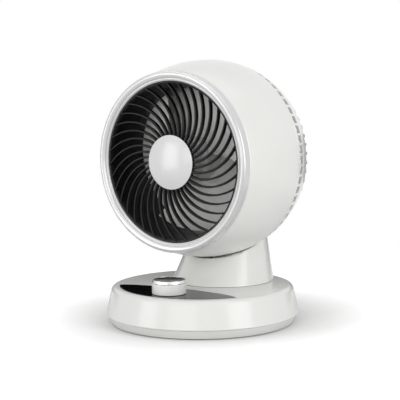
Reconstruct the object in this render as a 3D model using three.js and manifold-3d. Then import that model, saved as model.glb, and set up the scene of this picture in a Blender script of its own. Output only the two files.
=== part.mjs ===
// Desktop air circulator fan: a round head in a spherical saddle on a swivelling neck and a round base.
// Millimetres, +Z up. The origin is on the table under the middle of the base, and the fan blows to -Y.

import * as THREE from 'three';
import { mergeVertices } from 'three/addons/utils/BufferGeometryUtils.js';
import Module from 'manifold-3d';

const wasm = await Module();
wasm.setup();

// ---------------------------------------------------------------- driving dimensions (mm, degrees)
const GAP = 0.3;                   // clearance between pieces that touch
const ROUND = 28;                  // facets round a large turned piece
const MEDIUM_ROUND = 24;           // facets round the knob, the pivot and the hubs
const MOTOR_ROUND = 16;            // facets round the fan motor's pieces
const SMALL_ROUND = 12;            // facets round a small turned piece
const SCREW_ROUND = 6;             // facets round a screw
const CURVE_STEPS = 16;            // steps along each curve of a plate's outline
const BALL_ROUND = 40;             // facets round a cutting ball
const BALL_RINGS = 26;             // rings of facets on a cutting ball
const OVERCUT = 1;                 // how far a cutting piece passes the face that it cuts
const EMBED = 0.75;                // how far a boss reaches into the wall that it grows from
const PILOT_SPARE = 2.4;           // depth of a screw hole past the tip of its screw

// base
const RIM_RADIUS = 101.9;          // lower rim of the white cover
const RIM_HEIGHT = 10.2;
const BASE_TOP = 39.2;             // top face of the cover
const BASE_TOP_RADIUS = 95.6;      // cover wall at the shoulder
const SHOULDER = 3.5;              // rounding between the wall and the top
const COVER_WALL = 2.5;
const COVER_TOP = 3;
const SKIRT_TOP_STEP = 1.8;        // the grey bottom plate stands back from the rim by these
const SKIRT_FOOT_STEP = 6.3;
const PLATE_BOTTOM = 1;
const PLATE_THICKNESS = 3;
const PLATE_LIP = 4;               // how far the plate's tongue reaches up inside the cover
const PLATE_LIP_WALL = 2;
const PLATE_EDGE = 4;              // wall of the plate along its skirt
const FOOT_RADIUS = 7;
const FOOT_HEIGHT = 2.2;
const FOOT_RECESS = 1.5;
const FOOT_INSET = 23.9;           // from the rim to the circle of the feet
const FOOT_ANGLES = [45, 135, 225, 315];
const BALLAST_INSET = 41.9;        // from the rim to the edge of the ballast
const BALLAST_THICKNESS = 4;
const BASE_SCREW_INSET = 18.9;     // from the rim to the circle of the base screws
const BASE_SCREW_ANGLES = [20, 160, 200, 340];
const BASE_SCREW_LENGTH = 13;
const BOSS_RADIUS = 4;
const MOTOR_POST_RADIUS = 3.5;
const BOARD_POST_RADIUS = 3;

// panel, knob and switch
const KNOB_X = 3.9;                // as the photo shows it, a little right of the middle
const KNOB_Y = -62.8;
const KNOB_RADIUS = 17.5;
const KNOB_HEIGHT = 14.6;
const KNOB_WALL = 2.4;
const KNOB_FLOOR = 1.4;            // between the knob's bore and the bed of its cap
const KNOB_HUB_RISE = 1.5;         // the hub ends this far above the skirt of the knob
const KNOB_CAP_BED = 1.2;          // depth of the cap's bed below the bezel
const KNOB_CAP_RIM = 0.4;
const KNOB_CAP_DISH = 2.2;
const BEZEL_HEIGHT = 3;
const BEZEL_WIDTH = 1.2;
const BEZEL_SIDE = 0.55;           // upright part of the bezel below its chamfer
const BEZEL_CREST = 0.4;
const POINTER_ANGLE = 36;          // the pointer notch is turned this far from the front
const POINTER_WIDTH = 2.4;
const POINTER_DEPTH = 0.8;
const SHAFT_RADIUS = 3;
const PANEL_MARGIN = 8.6;          // between the panel's outer edge and the wall
const PANEL_HALF_LENGTH = 72.5;
const PANEL_TURN = 1.8;            // degrees that the panel is turned about the base's axis
const PANEL_INNER_Y = -34;         // inner edge on the centre line
const PANEL_FULLNESS = 0.8;        // how far the inner edge runs out flat before it turns to the ends
const PANEL_THICKNESS = 1.6;
const PANEL_PROUD = 0.2;
const SWITCH_SIZE = 20;
const SWITCH_HEIGHT = 8.4;
const SWITCH_FLOOR = 1.3;
const BOARD_LENGTH = 84;
const BOARD_WIDTH = 30;
const BOARD_THICKNESS = 1.6;
const BOARD_POST_X = 34;

// cord gland
const GLAND_HEIGHT = 20;
const GLAND_RADIUS = 6;
const GLAND_BORE = 3.4;
const GLAND_FLANGE = 8.2;          // radius of the flanges inside and outside the wall
const GLAND_FLANGE_LENGTH = 4;
const GLAND_COLLAR_LENGTH = 5;
const GLAND_COLLAR_EDGE = 0.6;
const GLAND_MARGIN = 3;            // between the cover's wall and the inside flange

// neck and swivel
const NECK_Y = 38.3;               // swivel axis, and the middle of the neck's foot
const NECK_FOOT_RADIUS = 54.7;
const NECK_TAPER = 0.295;          // radius lost per mm of height
const NECK_LEAN = 0.27;            // how far the section moves back per mm of height
const NECK_WALL = 2.6;
const NECK_TOP = 112;
const PIVOT_RADIUS = 14;
const PIVOT_BORE = 9;
const TURNTABLE_RADIUS = 49.4;
const TURNTABLE_THICKNESS = 3;
const NECK_SCREW_CIRCLE = 40;
const NECK_SCREW_ANGLES = [35, 145, 215, 325];
const NECK_SCREW_LENGTH = 9;
const NECK_WEB_WIDTH = 8;
const BEARING_INNER = 24;
const BEARING_OUTER = 34;
const BEARING_THICKNESS = 1;
const BEARING_GROOVE = 0.8;
const GEAR_MODULE = 1.25;
const GEAR_TEETH = 48;
const PINION_TEETH = 12;
const GEAR_SECTOR = 52;            // toothed half-angle
const GEAR_HUB_RADIUS = 20;
const RETAINER_RADIUS = 19;
const RETAINER_THICKNESS = 2.3;
const GEAR_BOTTOM = 29;
const MOTOR_RADIUS = 17.5;         // swivel motor
const MOTOR_EAR_X = 21;
const MOTOR_EAR_WIDTH = 7;
const MOTOR_EAR_THICKNESS = 1.2;
const MOTOR_TOP_GAP = 1.4;         // between the swivel motor and the gears
const MOTOR_SHAFT = 2.5;
const MOTOR_SHAFT_DEPTH = 7;       // how far the pinion's shaft reaches into the swivel motor
const TOOTH_ADDENDUM = 0.8;        // in modules
const TOOTH_DEDENDUM = 1.04;
const TOOTH_ROOT = 0.58;           // width of a tooth at its root and tip, as a share of the pitch
const TOOTH_TIP = 0.22;
const GEAR_HUB_STEP = 15;          // angle between the corners of the untoothed side

// head: its own frame has the centre of the sphere at the origin, and y runs to the back
const HEAD_Y = 14.3;
const HEAD_Z = 171.8;
const HEAD_RADIUS = 103.7;
const HEAD_FRONT_LENGTH = 132.7;   // the front half is drawn out to this half length
const SHELL_WALL = 2.5;
const SHELL_FRONT = -60.2;         // where the shell meets the front ring
const RING_FRONT = -70.3;
const RING_WALL = 2.2;
const RING_TONGUE = 3;
const RING_LIP = 2.1;              // width and rise of the thin bevel round the opening
const RING_LIP_RISE = 1.7;
const RING_CREST = 4;              // width and fall of the ring's flat crest
const RING_CREST_FALL = 0.3;
const RING_EDGE = 0.9;             // width and depth of the bevel along the outer edge
const RING_EDGE_DEPTH = 1.4;
const RING_WIDTH = 10;             // from the opening to the outside of the ring
const OPENING_Y = -66.8;
const LIP_THICKNESS = 3;
const GRILLE_RIBS = 36;
const GRILLE_RIB_THICKNESS = 4.5;
const GRILLE_RIB_WIDTH = 2.6;
const GRILLE_SWIRL = 32;           // degrees that a rib turns between the hub and the rim
const GRILLE_SWIRL_POWER = 1.25;   // above 1, a rib leaves the hub straighter than it meets the rim
const GRILLE_PHASE = -3.9;         // angle of the first opening where it starts at the hub
const GRILLE_RIM = 2;              // ring that the ribs run out into
const GRILLE_FLANGE = 2;
const GRILLE_FLANGE_OVERLAP = 1.2;
const GRILLE_HUB_RADIUS = 27;
const CAP_RADIUS = 27.8;
const CAP_EDGE = 0.7;
const CAP_DOME = 5;
const CAP_CROWN = 2.4;             // power of the dome's curve: higher is flatter in the middle
const CAP_PEG_RADIUS = 4;
const CAP_PEG_LENGTH = 6;
const THROAT_STEP = 6.4;           // the throat is this much narrower than the opening
const THROAT_Y = -34.3;
const DUCT_WALL = 2;
const DUCT_FLANGE = 2.5;
const DUCT_BACK_LEDGE = 8;         // width of the flange behind the throat
const DUCT_SCREW_INSET = 5.4;      // from the inside of the shell's wall to the screws
const REAR_SCREW_INSET = 5.2;
const HEAD_SCREW_ANGLES = [90, 210, 330];
const DUCT_SCREW_LENGTH = 9;
const REAR_SCREW_LENGTH = 14;
const HEAD_BOSS_WIDTH = 8;
const DUCT_BOSS_LENGTH = 10;
const DUCT_BOSS_DEPTH = 3;         // how far a boss reaches inwards from the middle of its screw
const REAR_BOSS_LENGTH = 12;
const REAR_BOSS_DEPTH = 4;
const REAR_TAB = 3;
const REAR_WALL = 3;
const REAR_RIBS = 60;
const REAR_RIB_ANGLE = 1.7;        // width of a rear rib, as an angle about the fan axis
// Angles from the front axis of the edges of the rear grille's rows.
const REAR_ROWS = [98, 100, 105.4, 113, 126, 139, 153];
const REAR_SLOT_ROWS = [1, 3, 4, 5];  // these rows are open between the ribs
const MOUNT_PAD_ANGLE = 27;        // half width of the closed pad over the neck
const MOUNT_PAD_ROW = 4;           // the pad fills the slot rows before this one

// motor and impeller
const SPIDER_RADIUS = 33;
const SPIDER_THICKNESS = 3;
const SPIDER_ARM = 7;
const SPIDER_ARM_ANGLES = [45, 135, 225, 315];
const END_CAP_WALL = 2;
const CAN_RADIUS = 31;
const CAN_LENGTH = 34.4;
const CAN_WALL = 1.2;
const BEARING_RADIUS = 6.5;
const BEARING_WIDTH = 4;
const BEARING_SEAT_WALL = 2;
const AXLE_RADIUS = 2.5;
const AXLE_FRONT = -41;
const AXLE_CLEARANCE = 1;          // round the shaft where it passes a wall
const STATOR_RADIUS = 29;
const ROTOR_RADIUS = 18;
const ROTOR_LENGTH = 18;
const STATOR_OVERHANG = 1;         // how much longer the stator is at each end
const IMPELLER_HUB = 24;
const IMPELLER_FRONT = -36;
const IMPELLER_BACK = -6;
const HUB_WALL = 2.5;
const HUB_FACE = 5;                // thickness of the hub's front wall
const HUB_NOSE = 4;                // rounding of the hub's nose
const HUB_BORE_WALL = 4;
const HUB_BORE_SHORT = 2;          // the bore's sleeve and the blades end this far before the hub
const BLADES = 3;
const BLADE_TIP_GAP = 1.4;
const BLADE_ANGLE = 144;           // angle that one blade spans about the axis
const BLADE_SWEEP = -0.5;          // degrees that a blade leans per mm of radius
const BLADE_PHASE = 76;
const BLADE_THICKNESS = 2;
const BLADE_ROOT = 2;              // how far a blade reaches into the hub
const BLADE_SETBACK = 3;           // from the hub's nose to the blade's leading edge
const BLADE_CAMBER = 0.12;

// tilt clamp
const TILT_UP = 22;
const TILT_DOWN = 10;
const CLAMP_ANGLE = 22;            // the bolt sits this far behind the bottom of the head
const SEAM = 0.9;                  // gap between the head and the edge of the neck
const SADDLE_THICKNESS = 5;
const SLOT_GAP = 2.2;              // depth of the dark slot under the front of the head
const SLOT_HALF_WIDTH = 37;
const SLOT_BACK_Y = 26;
const SADDLE_FRONT_Y = 14.8;
const BOLT_RADIUS = 2.5;
const BOLT_HEAD_RADIUS = 7;
const BOLT_HEAD_HEIGHT = 3;
const BOLT_EDGE = 1;
const CLAMP_SLOT_SPARE = 1;
const BRACKET_WIDTH = 32;
const BRACKET_LENGTH = 28;
const BRACKET_THICKNESS = 2;
const BRACKET_GAP = 1.2;
const BOLT_HEAD_GAP = 1.2;         // the bracket is curved, the bolt's head is flat
const PAD_RADIUS = 8;
const PAD_THICKNESS = 2;
const SPRING_LENGTH = 5;
const SPRING_DISCS = 4;
const SPRING_STRIP = 0.8;
const SPRING_FOLD = 0.6;
const NUT_HEIGHT = 4;
const NUT_RADIUS = 5;

// screws
const SCREW_RADIUS = 1.3;
const SCREW_HEAD = 2.6;
const SCREW_HEAD_HEIGHT = 1.6;

// ---------------------------------------------------------------- derived places
const DEG = Math.PI / 180;
const coverUnderside = BASE_TOP - COVER_TOP;
const plateFloor = PLATE_BOTTOM + PLATE_THICKNESS;
const panelTop = BASE_TOP + PANEL_PROUD;
const panelBottom = panelTop - PANEL_THICKNESS;
const knobBottom = panelTop + GAP;
const knobTop = BASE_TOP + KNOB_HEIGHT;
const turntableBottom = BASE_TOP - BEARING_GROOVE + GAP + BEARING_THICKNESS + GAP;
const turntableTop = turntableBottom + TURNTABLE_THICKNESS;
const neckBottom = BASE_TOP + GAP;
const pitchRadius = GEAR_MODULE * GEAR_TEETH / 2;
const pinionPitchRadius = GEAR_MODULE * PINION_TEETH / 2;
const pinionY = NECK_Y - pitchRadius - pinionPitchRadius;
const motorTop = GEAR_BOTTOM - MOTOR_TOP_GAP;
const switchBottom = coverUnderside - GAP - SWITCH_HEIGHT;
const boardTop = switchBottom - GAP;
const bezelBottom = knobTop - BEZEL_HEIGHT;
const knobRecess = bezelBottom - GAP - KNOB_CAP_BED;
const skirtTop = RIM_RADIUS - SKIRT_TOP_STEP;
const skirtFoot = RIM_RADIUS - SKIRT_FOOT_STEP;
const footCircle = RIM_RADIUS - FOOT_INSET;
const baseScrewCircle = RIM_RADIUS - BASE_SCREW_INSET;
const panelOuter = BASE_TOP_RADIUS - PANEL_MARGIN;
const glandWall = [-1, 1].map((side) => coverOuter(GLAND_HEIGHT + side * GLAND_FLANGE));
const glandInside = Math.min(...glandWall) - COVER_WALL - GLAND_MARGIN;
const glandOutside = Math.max(...glandWall) + GAP;
const lipBack = OPENING_Y + LIP_THICKNESS;
const tongueEnd = SHELL_FRONT + RING_TONGUE;
const grilleFlangeFront = lipBack + GAP;
const ductFront = grilleFlangeFront + GRILLE_FLANGE + GAP;
const ductFlangeFront = tongueEnd + GAP + SCREW_HEAD_HEIGHT + GAP;
const ductFlangeBack = ductFlangeFront + DUCT_FLANGE;
const ringOuter = shellRadius(SHELL_FRONT);
const openingRadius = ringOuter - RING_WIDTH;
const throatRadius = openingRadius - THROAT_STEP;
const ductBackFlange = throatRadius + DUCT_BACK_LEDGE;
const ductScrewCircle = shellRadius(ductFlangeBack) - SHELL_WALL - DUCT_SCREW_INSET;
const tongueOuter = ringOuter - SHELL_WALL - GAP;
const tongueInner = tongueOuter - RING_WALL;
const shellBack = -HEAD_RADIUS * Math.cos(REAR_ROWS[0] * DEG) - GAP;
const rearScrewCircle = shellRadius(shellBack) - SHELL_WALL - REAR_SCREW_INSET;
const saddleInner = HEAD_RADIUS + SEAM + GAP;
const saddleOuter = saddleInner + SADDLE_THICKNESS;
const bracketOuter = HEAD_RADIUS - REAR_WALL - BRACKET_GAP;
const bracketInner = bracketOuter - BRACKET_THICKNESS;
const washerInner = saddleOuter + GAP;
const washerOuter = washerInner + PAD_THICKNESS;
const springEnd = washerOuter + GAP + SPRING_LENGTH;
const nutEnd = springEnd + GAP + NUT_HEIGHT;
const motorFront = GAP + SPIDER_THICKNESS + GAP;
const endCapBack = motorFront + END_CAP_WALL;
const canBack = motorFront + CAN_LENGTH;
const canFloor = canBack - CAN_WALL;
const rotorMiddle = (endCapBack + canFloor) / 2;
const axleBore = AXLE_RADIUS + GAP;
const axleHole = AXLE_RADIUS + AXLE_CLEARANCE;
const bearingSeat = BEARING_RADIUS + GAP;

// ---------------------------------------------------------------- geometry helpers
// Outer radius of the head at y: drawn out in front of the centre, a sphere behind it.
function shellRadius(y) {
  const halfLength = y < 0 ? HEAD_FRONT_LENGTH : HEAD_RADIUS;
  return HEAD_RADIUS * Math.sqrt(1 - (y / halfLength) ** 2);
}

function toSolid(geometry) {
  const bare = geometry.clone();
  bare.deleteAttribute('normal');
  bare.deleteAttribute('uv');
  const merged = mergeVertices(bare, 1e-4);
  const vertProperties = Float32Array.from(merged.attributes.position.array);
  const triVerts = Uint32Array.from(dropSlivers(Array.from(merged.index.array)));
  return new wasm.Manifold(new wasm.Mesh({ numProp: 3, vertProperties, triVerts }));
}

// Triangles that collapsed to a line when their corners were merged, such as those on a turning axis.
function dropSlivers(index) {
  const kept = [];
  for (let i = 0; i < index.length; i += 3) {
    const [a, b, c] = index.slice(i, i + 3);
    if (a !== b && b !== c && c !== a) kept.push(a, b, c);
  }
  return kept;
}

function toGeometry(solid) {
  const mesh = solid.getMesh();
  const geometry = new THREE.BufferGeometry();
  geometry.setAttribute('position', new THREE.BufferAttribute(Float32Array.from(mesh.vertProperties), 3));
  geometry.setIndex(Array.from(mesh.triVerts));
  geometry.computeVertexNormals();
  return geometry;
}

function cut(geometry, ...tools) {
  return toGeometry(tools.reduce((solid, tool) => solid.subtract(toSolid(tool)), toSolid(geometry)));
}

function join(geometry, ...others) {
  return toGeometry(others.reduce((solid, other) => solid.add(toSolid(other)), toSolid(geometry)));
}

function common(geometry, other) {
  return toGeometry(toSolid(geometry).intersect(toSolid(other)));
}

// A closed outline of [radius, height] pairs, or one that starts and ends on the axis, turned about Y.
// The outline runs so that its inside lies to the left as the height goes up on the outer wall.
function turned(outline, facets = ROUND) {
  const area = outline.reduce((sum, [r, y], i) => {
    const [nextR, nextY] = outline[(i + 1) % outline.length];
    return sum + r * nextY - nextR * y;
  }, 0);
  const ordered = area > 0 ? outline : [...outline].reverse();
  const onAxis = ordered.some(([r]) => r === 0);
  const points = ordered.map(([r, y]) => new THREE.Vector2(r, y));
  if (!onAxis) points.push(points[0].clone());
  return new THREE.LatheGeometry(onAxis ? startOnAxis(points) : points, facets);
}

// Turns the list so that it begins and ends with its two points on the axis.
function startOnAxis(points) {
  const axisPoints = points.map((p, i) => (p.x === 0 ? i : -1)).filter((i) => i >= 0);
  const [a, b] = axisPoints;
  const start = b - a === 1 ? b : a;
  return points.map((p, i) => points[(start + i) % points.length]);
}

function upright(geometry) {
  return geometry.rotateX(Math.PI / 2);
}

function turnedUpright(outline, facets) {
  return upright(turned(outline, facets));
}

function box(width, depth, height, x, y, z) {
  return new THREE.BoxGeometry(width, depth, height).translate(x, y, z);
}

// A rod along Z from bottom to top.
function rod(radius, bottom, top, x = 0, y = 0, facets = SMALL_ROUND) {
  const geometry = new THREE.CylinderGeometry(radius, radius, top - bottom, facets);
  return upright(geometry).translate(x, y, (top + bottom) / 2);
}

// A rod along Y from front to back.
function rodAlongY(radius, front, back, x = 0, z = 0, facets = SMALL_ROUND) {
  const geometry = new THREE.CylinderGeometry(radius, radius, back - front, facets);
  return geometry.translate(x, (front + back) / 2, z);
}

function ball(radius, y = 0, z = 0) {
  return new THREE.SphereGeometry(radius, BALL_ROUND, BALL_RINGS).translate(0, y, z);
}

// A flat plate of the given outline, from bottom to top.
function plate(shape, bottom, top) {
  const options = { depth: top - bottom, bevelEnabled: false, curveSegments: CURVE_STEPS };
  return new THREE.ExtrudeGeometry(shape, options).translate(0, 0, bottom);
}

// The same plate standing up: the outline faces the front, between two places on Y.
function standingPlate(shape, front, back) {
  return plate(shape, -back, -front).rotateX(Math.PI / 2);
}

function polar(radius, degrees) {
  return [radius * Math.cos(degrees * DEG), radius * Math.sin(degrees * DEG)];
}

function circlePath(radius, facets, x = 0, y = 0) {
  const points = [];
  for (let i = 0; i < facets; i += 1) {
    const [px, py] = polar(radius, 360 * i / facets);
    points.push(new THREE.Vector2(px + x, py + y));
  }
  return new THREE.Path(points);
}

function disc(radius, facets) {
  return new THREE.Shape(circlePath(radius, facets).getPoints());
}

function ringAlongY(inner, outer, front, back, facets = SMALL_ROUND) {
  return turned([[inner, front], [outer, front], [outer, back], [inner, back]], facets);
}

// A hexagon nut along Y, with a round bore.
function hexNut(bore, radius, front, back) {
  const shape = disc(radius, 6);
  shape.holes.push(circlePath(bore, SMALL_ROUND));
  return standingPlate(shape, front, back);
}

// Screw along Z: the head is below seat, and the shank rises from it.
function screw(length) {
  return turnedUpright([
    [0, -SCREW_HEAD_HEIGHT],
    [SCREW_HEAD, -SCREW_HEAD_HEIGHT],
    [SCREW_HEAD, 0],
    [SCREW_RADIUS, 0],
    [SCREW_RADIUS, length],
    [0, length],
  ], SCREW_ROUND);
}

const finishes = {
  white: { color: 0xdededb, roughness: 0.32, metalness: 0 },
  satin: { color: 0xf0f0f0, roughness: 0.3, metalness: 0.2 },
  grey: { color: 0xc4c4c1, roughness: 0.4, metalness: 0 },
  black: { color: 0x0b0b0c, roughness: 0.3, metalness: 0 },
  glossBlack: { color: 0x050506, roughness: 0.08, metalness: 0 },
  bladeGrey: { color: 0x8c8c8a, roughness: 0.2, metalness: 0 },
  chrome: { color: 0xe6e6e6, roughness: 0.08, metalness: 1 },
  steel: { color: 0x9a9a9a, roughness: 0.35, metalness: 1 },
  rubber: { color: 0x2a2a2a, roughness: 0.85, metalness: 0 },
  acetal: { color: 0xe8e6dc, roughness: 0.5, metalness: 0 },
  copper: { color: 0x9c5a34, roughness: 0.4, metalness: 0.8 },
  board: { color: 0x1f5a35, roughness: 0.55, metalness: 0 },
};

function add(group, name, geometry, finish, position = [0, 0, 0]) {
  const mesh = new THREE.Mesh(geometry, new THREE.MeshStandardMaterial(finishes[finish]));
  mesh.name = name;
  mesh.position.set(...position);
  group.add(mesh);
  return mesh;
}

// ---------------------------------------------------------------- base
function coverOuter(z) {
  const share = (z - RIM_HEIGHT) / (BASE_TOP - SHOULDER - RIM_HEIGHT);
  return RIM_RADIUS + (BASE_TOP_RADIUS - RIM_RADIUS) * share;
}

function panelOutline(inset) {
  const radius = panelOuter - inset;
  const halfLength = PANEL_HALF_LENGTH - 2 * inset;
  const endAngle = Math.acos(halfLength / radius);
  const endY = -radius * Math.sin(endAngle);
  const innerY = PANEL_INNER_Y - inset;
  const shape = new THREE.Shape();
  shape.absarc(0, 0, radius, Math.PI + endAngle, 2 * Math.PI - endAngle, false);
  const controlX = PANEL_FULLNESS * halfLength;
  const controlY = (4 * innerY - endY) / 3;
  shape.bezierCurveTo(controlX, controlY, -controlX, controlY, -halfLength, endY);
  return shape;
}

function baseCover() {
  const shoulder = [];
  const shoulderSteps = 3;
  for (let i = 0; i <= shoulderSteps; i += 1) {
    const angle = 90 * i / shoulderSteps * DEG;
    shoulder.push([
      BASE_TOP_RADIUS - SHOULDER * (1 - Math.cos(angle)),
      BASE_TOP - SHOULDER * (1 - Math.sin(angle)),
    ]);
  }
  const shell = turnedUpright([
    [0, coverUnderside],
    [BASE_TOP_RADIUS - SHOULDER - COVER_WALL, coverUnderside],
    [BASE_TOP_RADIUS - COVER_WALL, coverUnderside - SHOULDER],
    [RIM_RADIUS - COVER_WALL, RIM_HEIGHT],
    [RIM_RADIUS, RIM_HEIGHT],
    ...shoulder,
    [0, BASE_TOP],
  ]);
  const bossTop = coverUnderside + EMBED;
  const pilotTop = PLATE_BOTTOM + SCREW_HEAD_HEIGHT + BASE_SCREW_LENGTH + PILOT_SPARE;
  const bosses = BASE_SCREW_ANGLES.map((angle) => {
    const [x, y] = polar(baseScrewCircle, angle);
    return rod(BOSS_RADIUS, plateFloor + GAP, bossTop, x, y, SCREW_ROUND);
  });
  const pilots = BASE_SCREW_ANGLES.map((angle) => {
    const [x, y] = polar(baseScrewCircle, angle);
    return rod(SCREW_RADIUS + GAP, plateFloor - OVERCUT, pilotTop, x, y, SCREW_ROUND);
  });
  const posts = [-1, 1].flatMap((side) => [
    rod(MOTOR_POST_RADIUS, motorTop + GAP, bossTop, side * MOTOR_EAR_X, pinionY, SCREW_ROUND),
    rod(BOARD_POST_RADIUS, boardTop + GAP, bossTop, side * BOARD_POST_X, KNOB_Y, SCREW_ROUND),
  ]);
  const groove = turnedUpright([
    [BEARING_INNER - GAP, BASE_TOP - BEARING_GROOVE],
    [BEARING_OUTER + GAP, BASE_TOP - BEARING_GROOVE],
    [BEARING_OUTER + GAP, BASE_TOP + OVERCUT],
    [BEARING_INNER - GAP, BASE_TOP + OVERCUT],
  ], ROUND).translate(0, NECK_Y, 0);
  const [below, above] = [coverUnderside - OVERCUT, BASE_TOP + OVERCUT];
  return cut(
    join(shell, ...bosses, ...posts),
    ...pilots,
    groove,
    rod(PIVOT_RADIUS + 2 * GAP, below, above, 0, NECK_Y, MEDIUM_ROUND),
    rod(SHAFT_RADIUS + 2 * GAP, below, above, KNOB_X, KNOB_Y),
    plate(panelOutline(-GAP), panelBottom - GAP, above).rotateZ(PANEL_TURN * DEG),
    rodAlongY(GLAND_RADIUS + GAP, glandInside, glandOutside + OVERCUT, 0, GLAND_HEIGHT),
  );
}

function footPlaces() {
  const corners = FOOT_ANGLES.map((angle) => polar(footCircle, angle));
  return [...corners, [0, 0]];
}

function basePlate() {
  const lipTop = RIM_HEIGHT - GAP + PLATE_LIP;
  const lipOuter = coverOuter(lipTop) - COVER_WALL - 2 * GAP;
  const tray = turnedUpright([
    [0, PLATE_BOTTOM],
    [skirtFoot, PLATE_BOTTOM],
    [skirtTop, RIM_HEIGHT - GAP],
    [lipOuter, RIM_HEIGHT - GAP],
    [lipOuter, lipTop],
    [lipOuter - PLATE_LIP_WALL, lipTop],
    [skirtFoot - PLATE_EDGE, plateFloor],
    [0, plateFloor],
  ]);
  const below = PLATE_BOTTOM - OVERCUT;
  const seat = PLATE_BOTTOM + SCREW_HEAD_HEIGHT + GAP;
  const recesses = footPlaces().map(([x, y]) => (
    rod(FOOT_RADIUS + GAP, below, PLATE_BOTTOM + FOOT_RECESS, x, y, SMALL_ROUND)
  ));
  const holes = BASE_SCREW_ANGLES.flatMap((angle) => {
    const [x, y] = polar(baseScrewCircle, angle);
    return [
      rod(SCREW_HEAD + 2 * GAP, below, seat, x, y, SCREW_ROUND),
      rod(SCREW_RADIUS + 2 * GAP, below, plateFloor + OVERCUT, x, y, SCREW_ROUND),
    ];
  });
  return cut(tray, ...recesses, ...holes);
}

function cordGland() {
  const front = glandInside - GLAND_FLANGE_LENGTH;
  const back = glandOutside + GLAND_COLLAR_LENGTH;
  return turned([
    [GLAND_BORE, front],
    [GLAND_FLANGE, front],
    [GLAND_FLANGE, glandInside],
    [GLAND_RADIUS, glandInside],
    [GLAND_RADIUS, glandOutside],
    [GLAND_FLANGE, glandOutside],
    [GLAND_RADIUS + GLAND_COLLAR_EDGE, back],
    [GLAND_BORE, back],
  ], SMALL_ROUND);
}

function controlPanel() {
  const panel = plate(panelOutline(0), panelBottom, panelTop).rotateZ(PANEL_TURN * DEG);
  const [below, above] = [panelBottom - OVERCUT, panelTop + OVERCUT];
  return cut(panel, rod(SHAFT_RADIUS + 2 * GAP, below, above, KNOB_X, KNOB_Y));
}

function controlBoard() {
  return box(BOARD_LENGTH, BOARD_WIDTH, BOARD_THICKNESS, 0, KNOB_Y, boardTop - BOARD_THICKNESS / 2);
}

function rotarySwitch() {
  const middle = switchBottom + SWITCH_HEIGHT / 2;
  const body = box(SWITCH_SIZE, SWITCH_SIZE, SWITCH_HEIGHT, KNOB_X, KNOB_Y, middle);
  return cut(body, rod(SHAFT_RADIUS + GAP, switchBottom + SWITCH_FLOOR, BASE_TOP, KNOB_X, KNOB_Y));
}

function swivelMotor() {
  const bottom = plateFloor + GAP + BALLAST_THICKNESS + GAP;
  const body = rod(MOTOR_RADIUS, bottom, motorTop, 0, pinionY, MEDIUM_ROUND);
  const earSpan = 2 * MOTOR_EAR_X + MOTOR_EAR_WIDTH;
  const earMiddle = motorTop - MOTOR_EAR_THICKNESS / 2;
  const ears = box(earSpan, MOTOR_EAR_WIDTH, MOTOR_EAR_THICKNESS, 0, pinionY, earMiddle);
  const boreFloor = motorTop - MOTOR_SHAFT_DEPTH - PILOT_SPARE;
  return cut(join(body, ears), rod(MOTOR_SHAFT + GAP, boreFloor, BASE_TOP, 0, pinionY));
}

function bearingRing() {
  const bottom = BASE_TOP - BEARING_GROOVE + GAP;
  return turnedUpright([
    [BEARING_INNER, bottom],
    [BEARING_OUTER, bottom],
    [BEARING_OUTER, bottom + BEARING_THICKNESS],
    [BEARING_INNER, bottom + BEARING_THICKNESS],
  ]);
}

function buildBase() {
  const base = new THREE.Group();
  const ballastBottom = plateFloor + GAP;
  add(base, 'base_cover', baseCover(), 'white');
  add(base, 'base_plate', basePlate(), 'grey');
  footPlaces().forEach(([x, y], i) => {
    const name = i < FOOT_ANGLES.length ? `foot_${i + 1}` : 'foot_center';
    add(base, name, rod(FOOT_RADIUS, 0, FOOT_HEIGHT), 'rubber', [x, y, 0]);
  });
  const ballastRadius = RIM_RADIUS - BALLAST_INSET;
  const ballast = rod(ballastRadius, ballastBottom, ballastBottom + BALLAST_THICKNESS, 0, 0, ROUND);
  add(base, 'ballast_plate', ballast, 'steel');
  BASE_SCREW_ANGLES.forEach((angle, i) => {
    const seat = PLATE_BOTTOM + SCREW_HEAD_HEIGHT;
    const place = [...polar(baseScrewCircle, angle), seat];
    add(base, `base_screw_${i + 1}`, screw(BASE_SCREW_LENGTH), 'steel', place);
  });
  add(base, 'control_panel', controlPanel(), 'glossBlack');
  add(base, 'control_board', controlBoard(), 'board');
  add(base, 'rotary_switch', rotarySwitch(), 'steel');
  add(base, 'swivel_motor', swivelMotor(), 'steel');
  add(base, 'cord_gland', cordGland(), 'rubber', [0, 0, GLAND_HEIGHT]);
  add(base, 'swivel_bearing_ring', bearingRing(), 'acetal', [0, NECK_Y, 0]);
  return base;
}

// ---------------------------------------------------------------- knob
function knobBody() {
  const bore = SHAFT_RADIUS + GAP;
  return turnedUpright([
    [0, knobRecess - KNOB_FLOOR],
    [bore, knobRecess - KNOB_FLOOR],
    [bore, knobBottom + KNOB_HUB_RISE],
    [bore + KNOB_WALL, knobBottom + KNOB_HUB_RISE],
    [bore + KNOB_WALL, knobRecess - KNOB_WALL],
    [KNOB_RADIUS - KNOB_WALL, knobRecess - KNOB_WALL],
    [KNOB_RADIUS - KNOB_WALL, knobBottom],
    [KNOB_RADIUS, knobBottom],
    [KNOB_RADIUS, bezelBottom - GAP],
    [KNOB_RADIUS - BEZEL_WIDTH, bezelBottom - GAP],
    [KNOB_RADIUS - BEZEL_WIDTH, knobRecess],
    [0, knobRecess],
  ], MEDIUM_ROUND);
}

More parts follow.
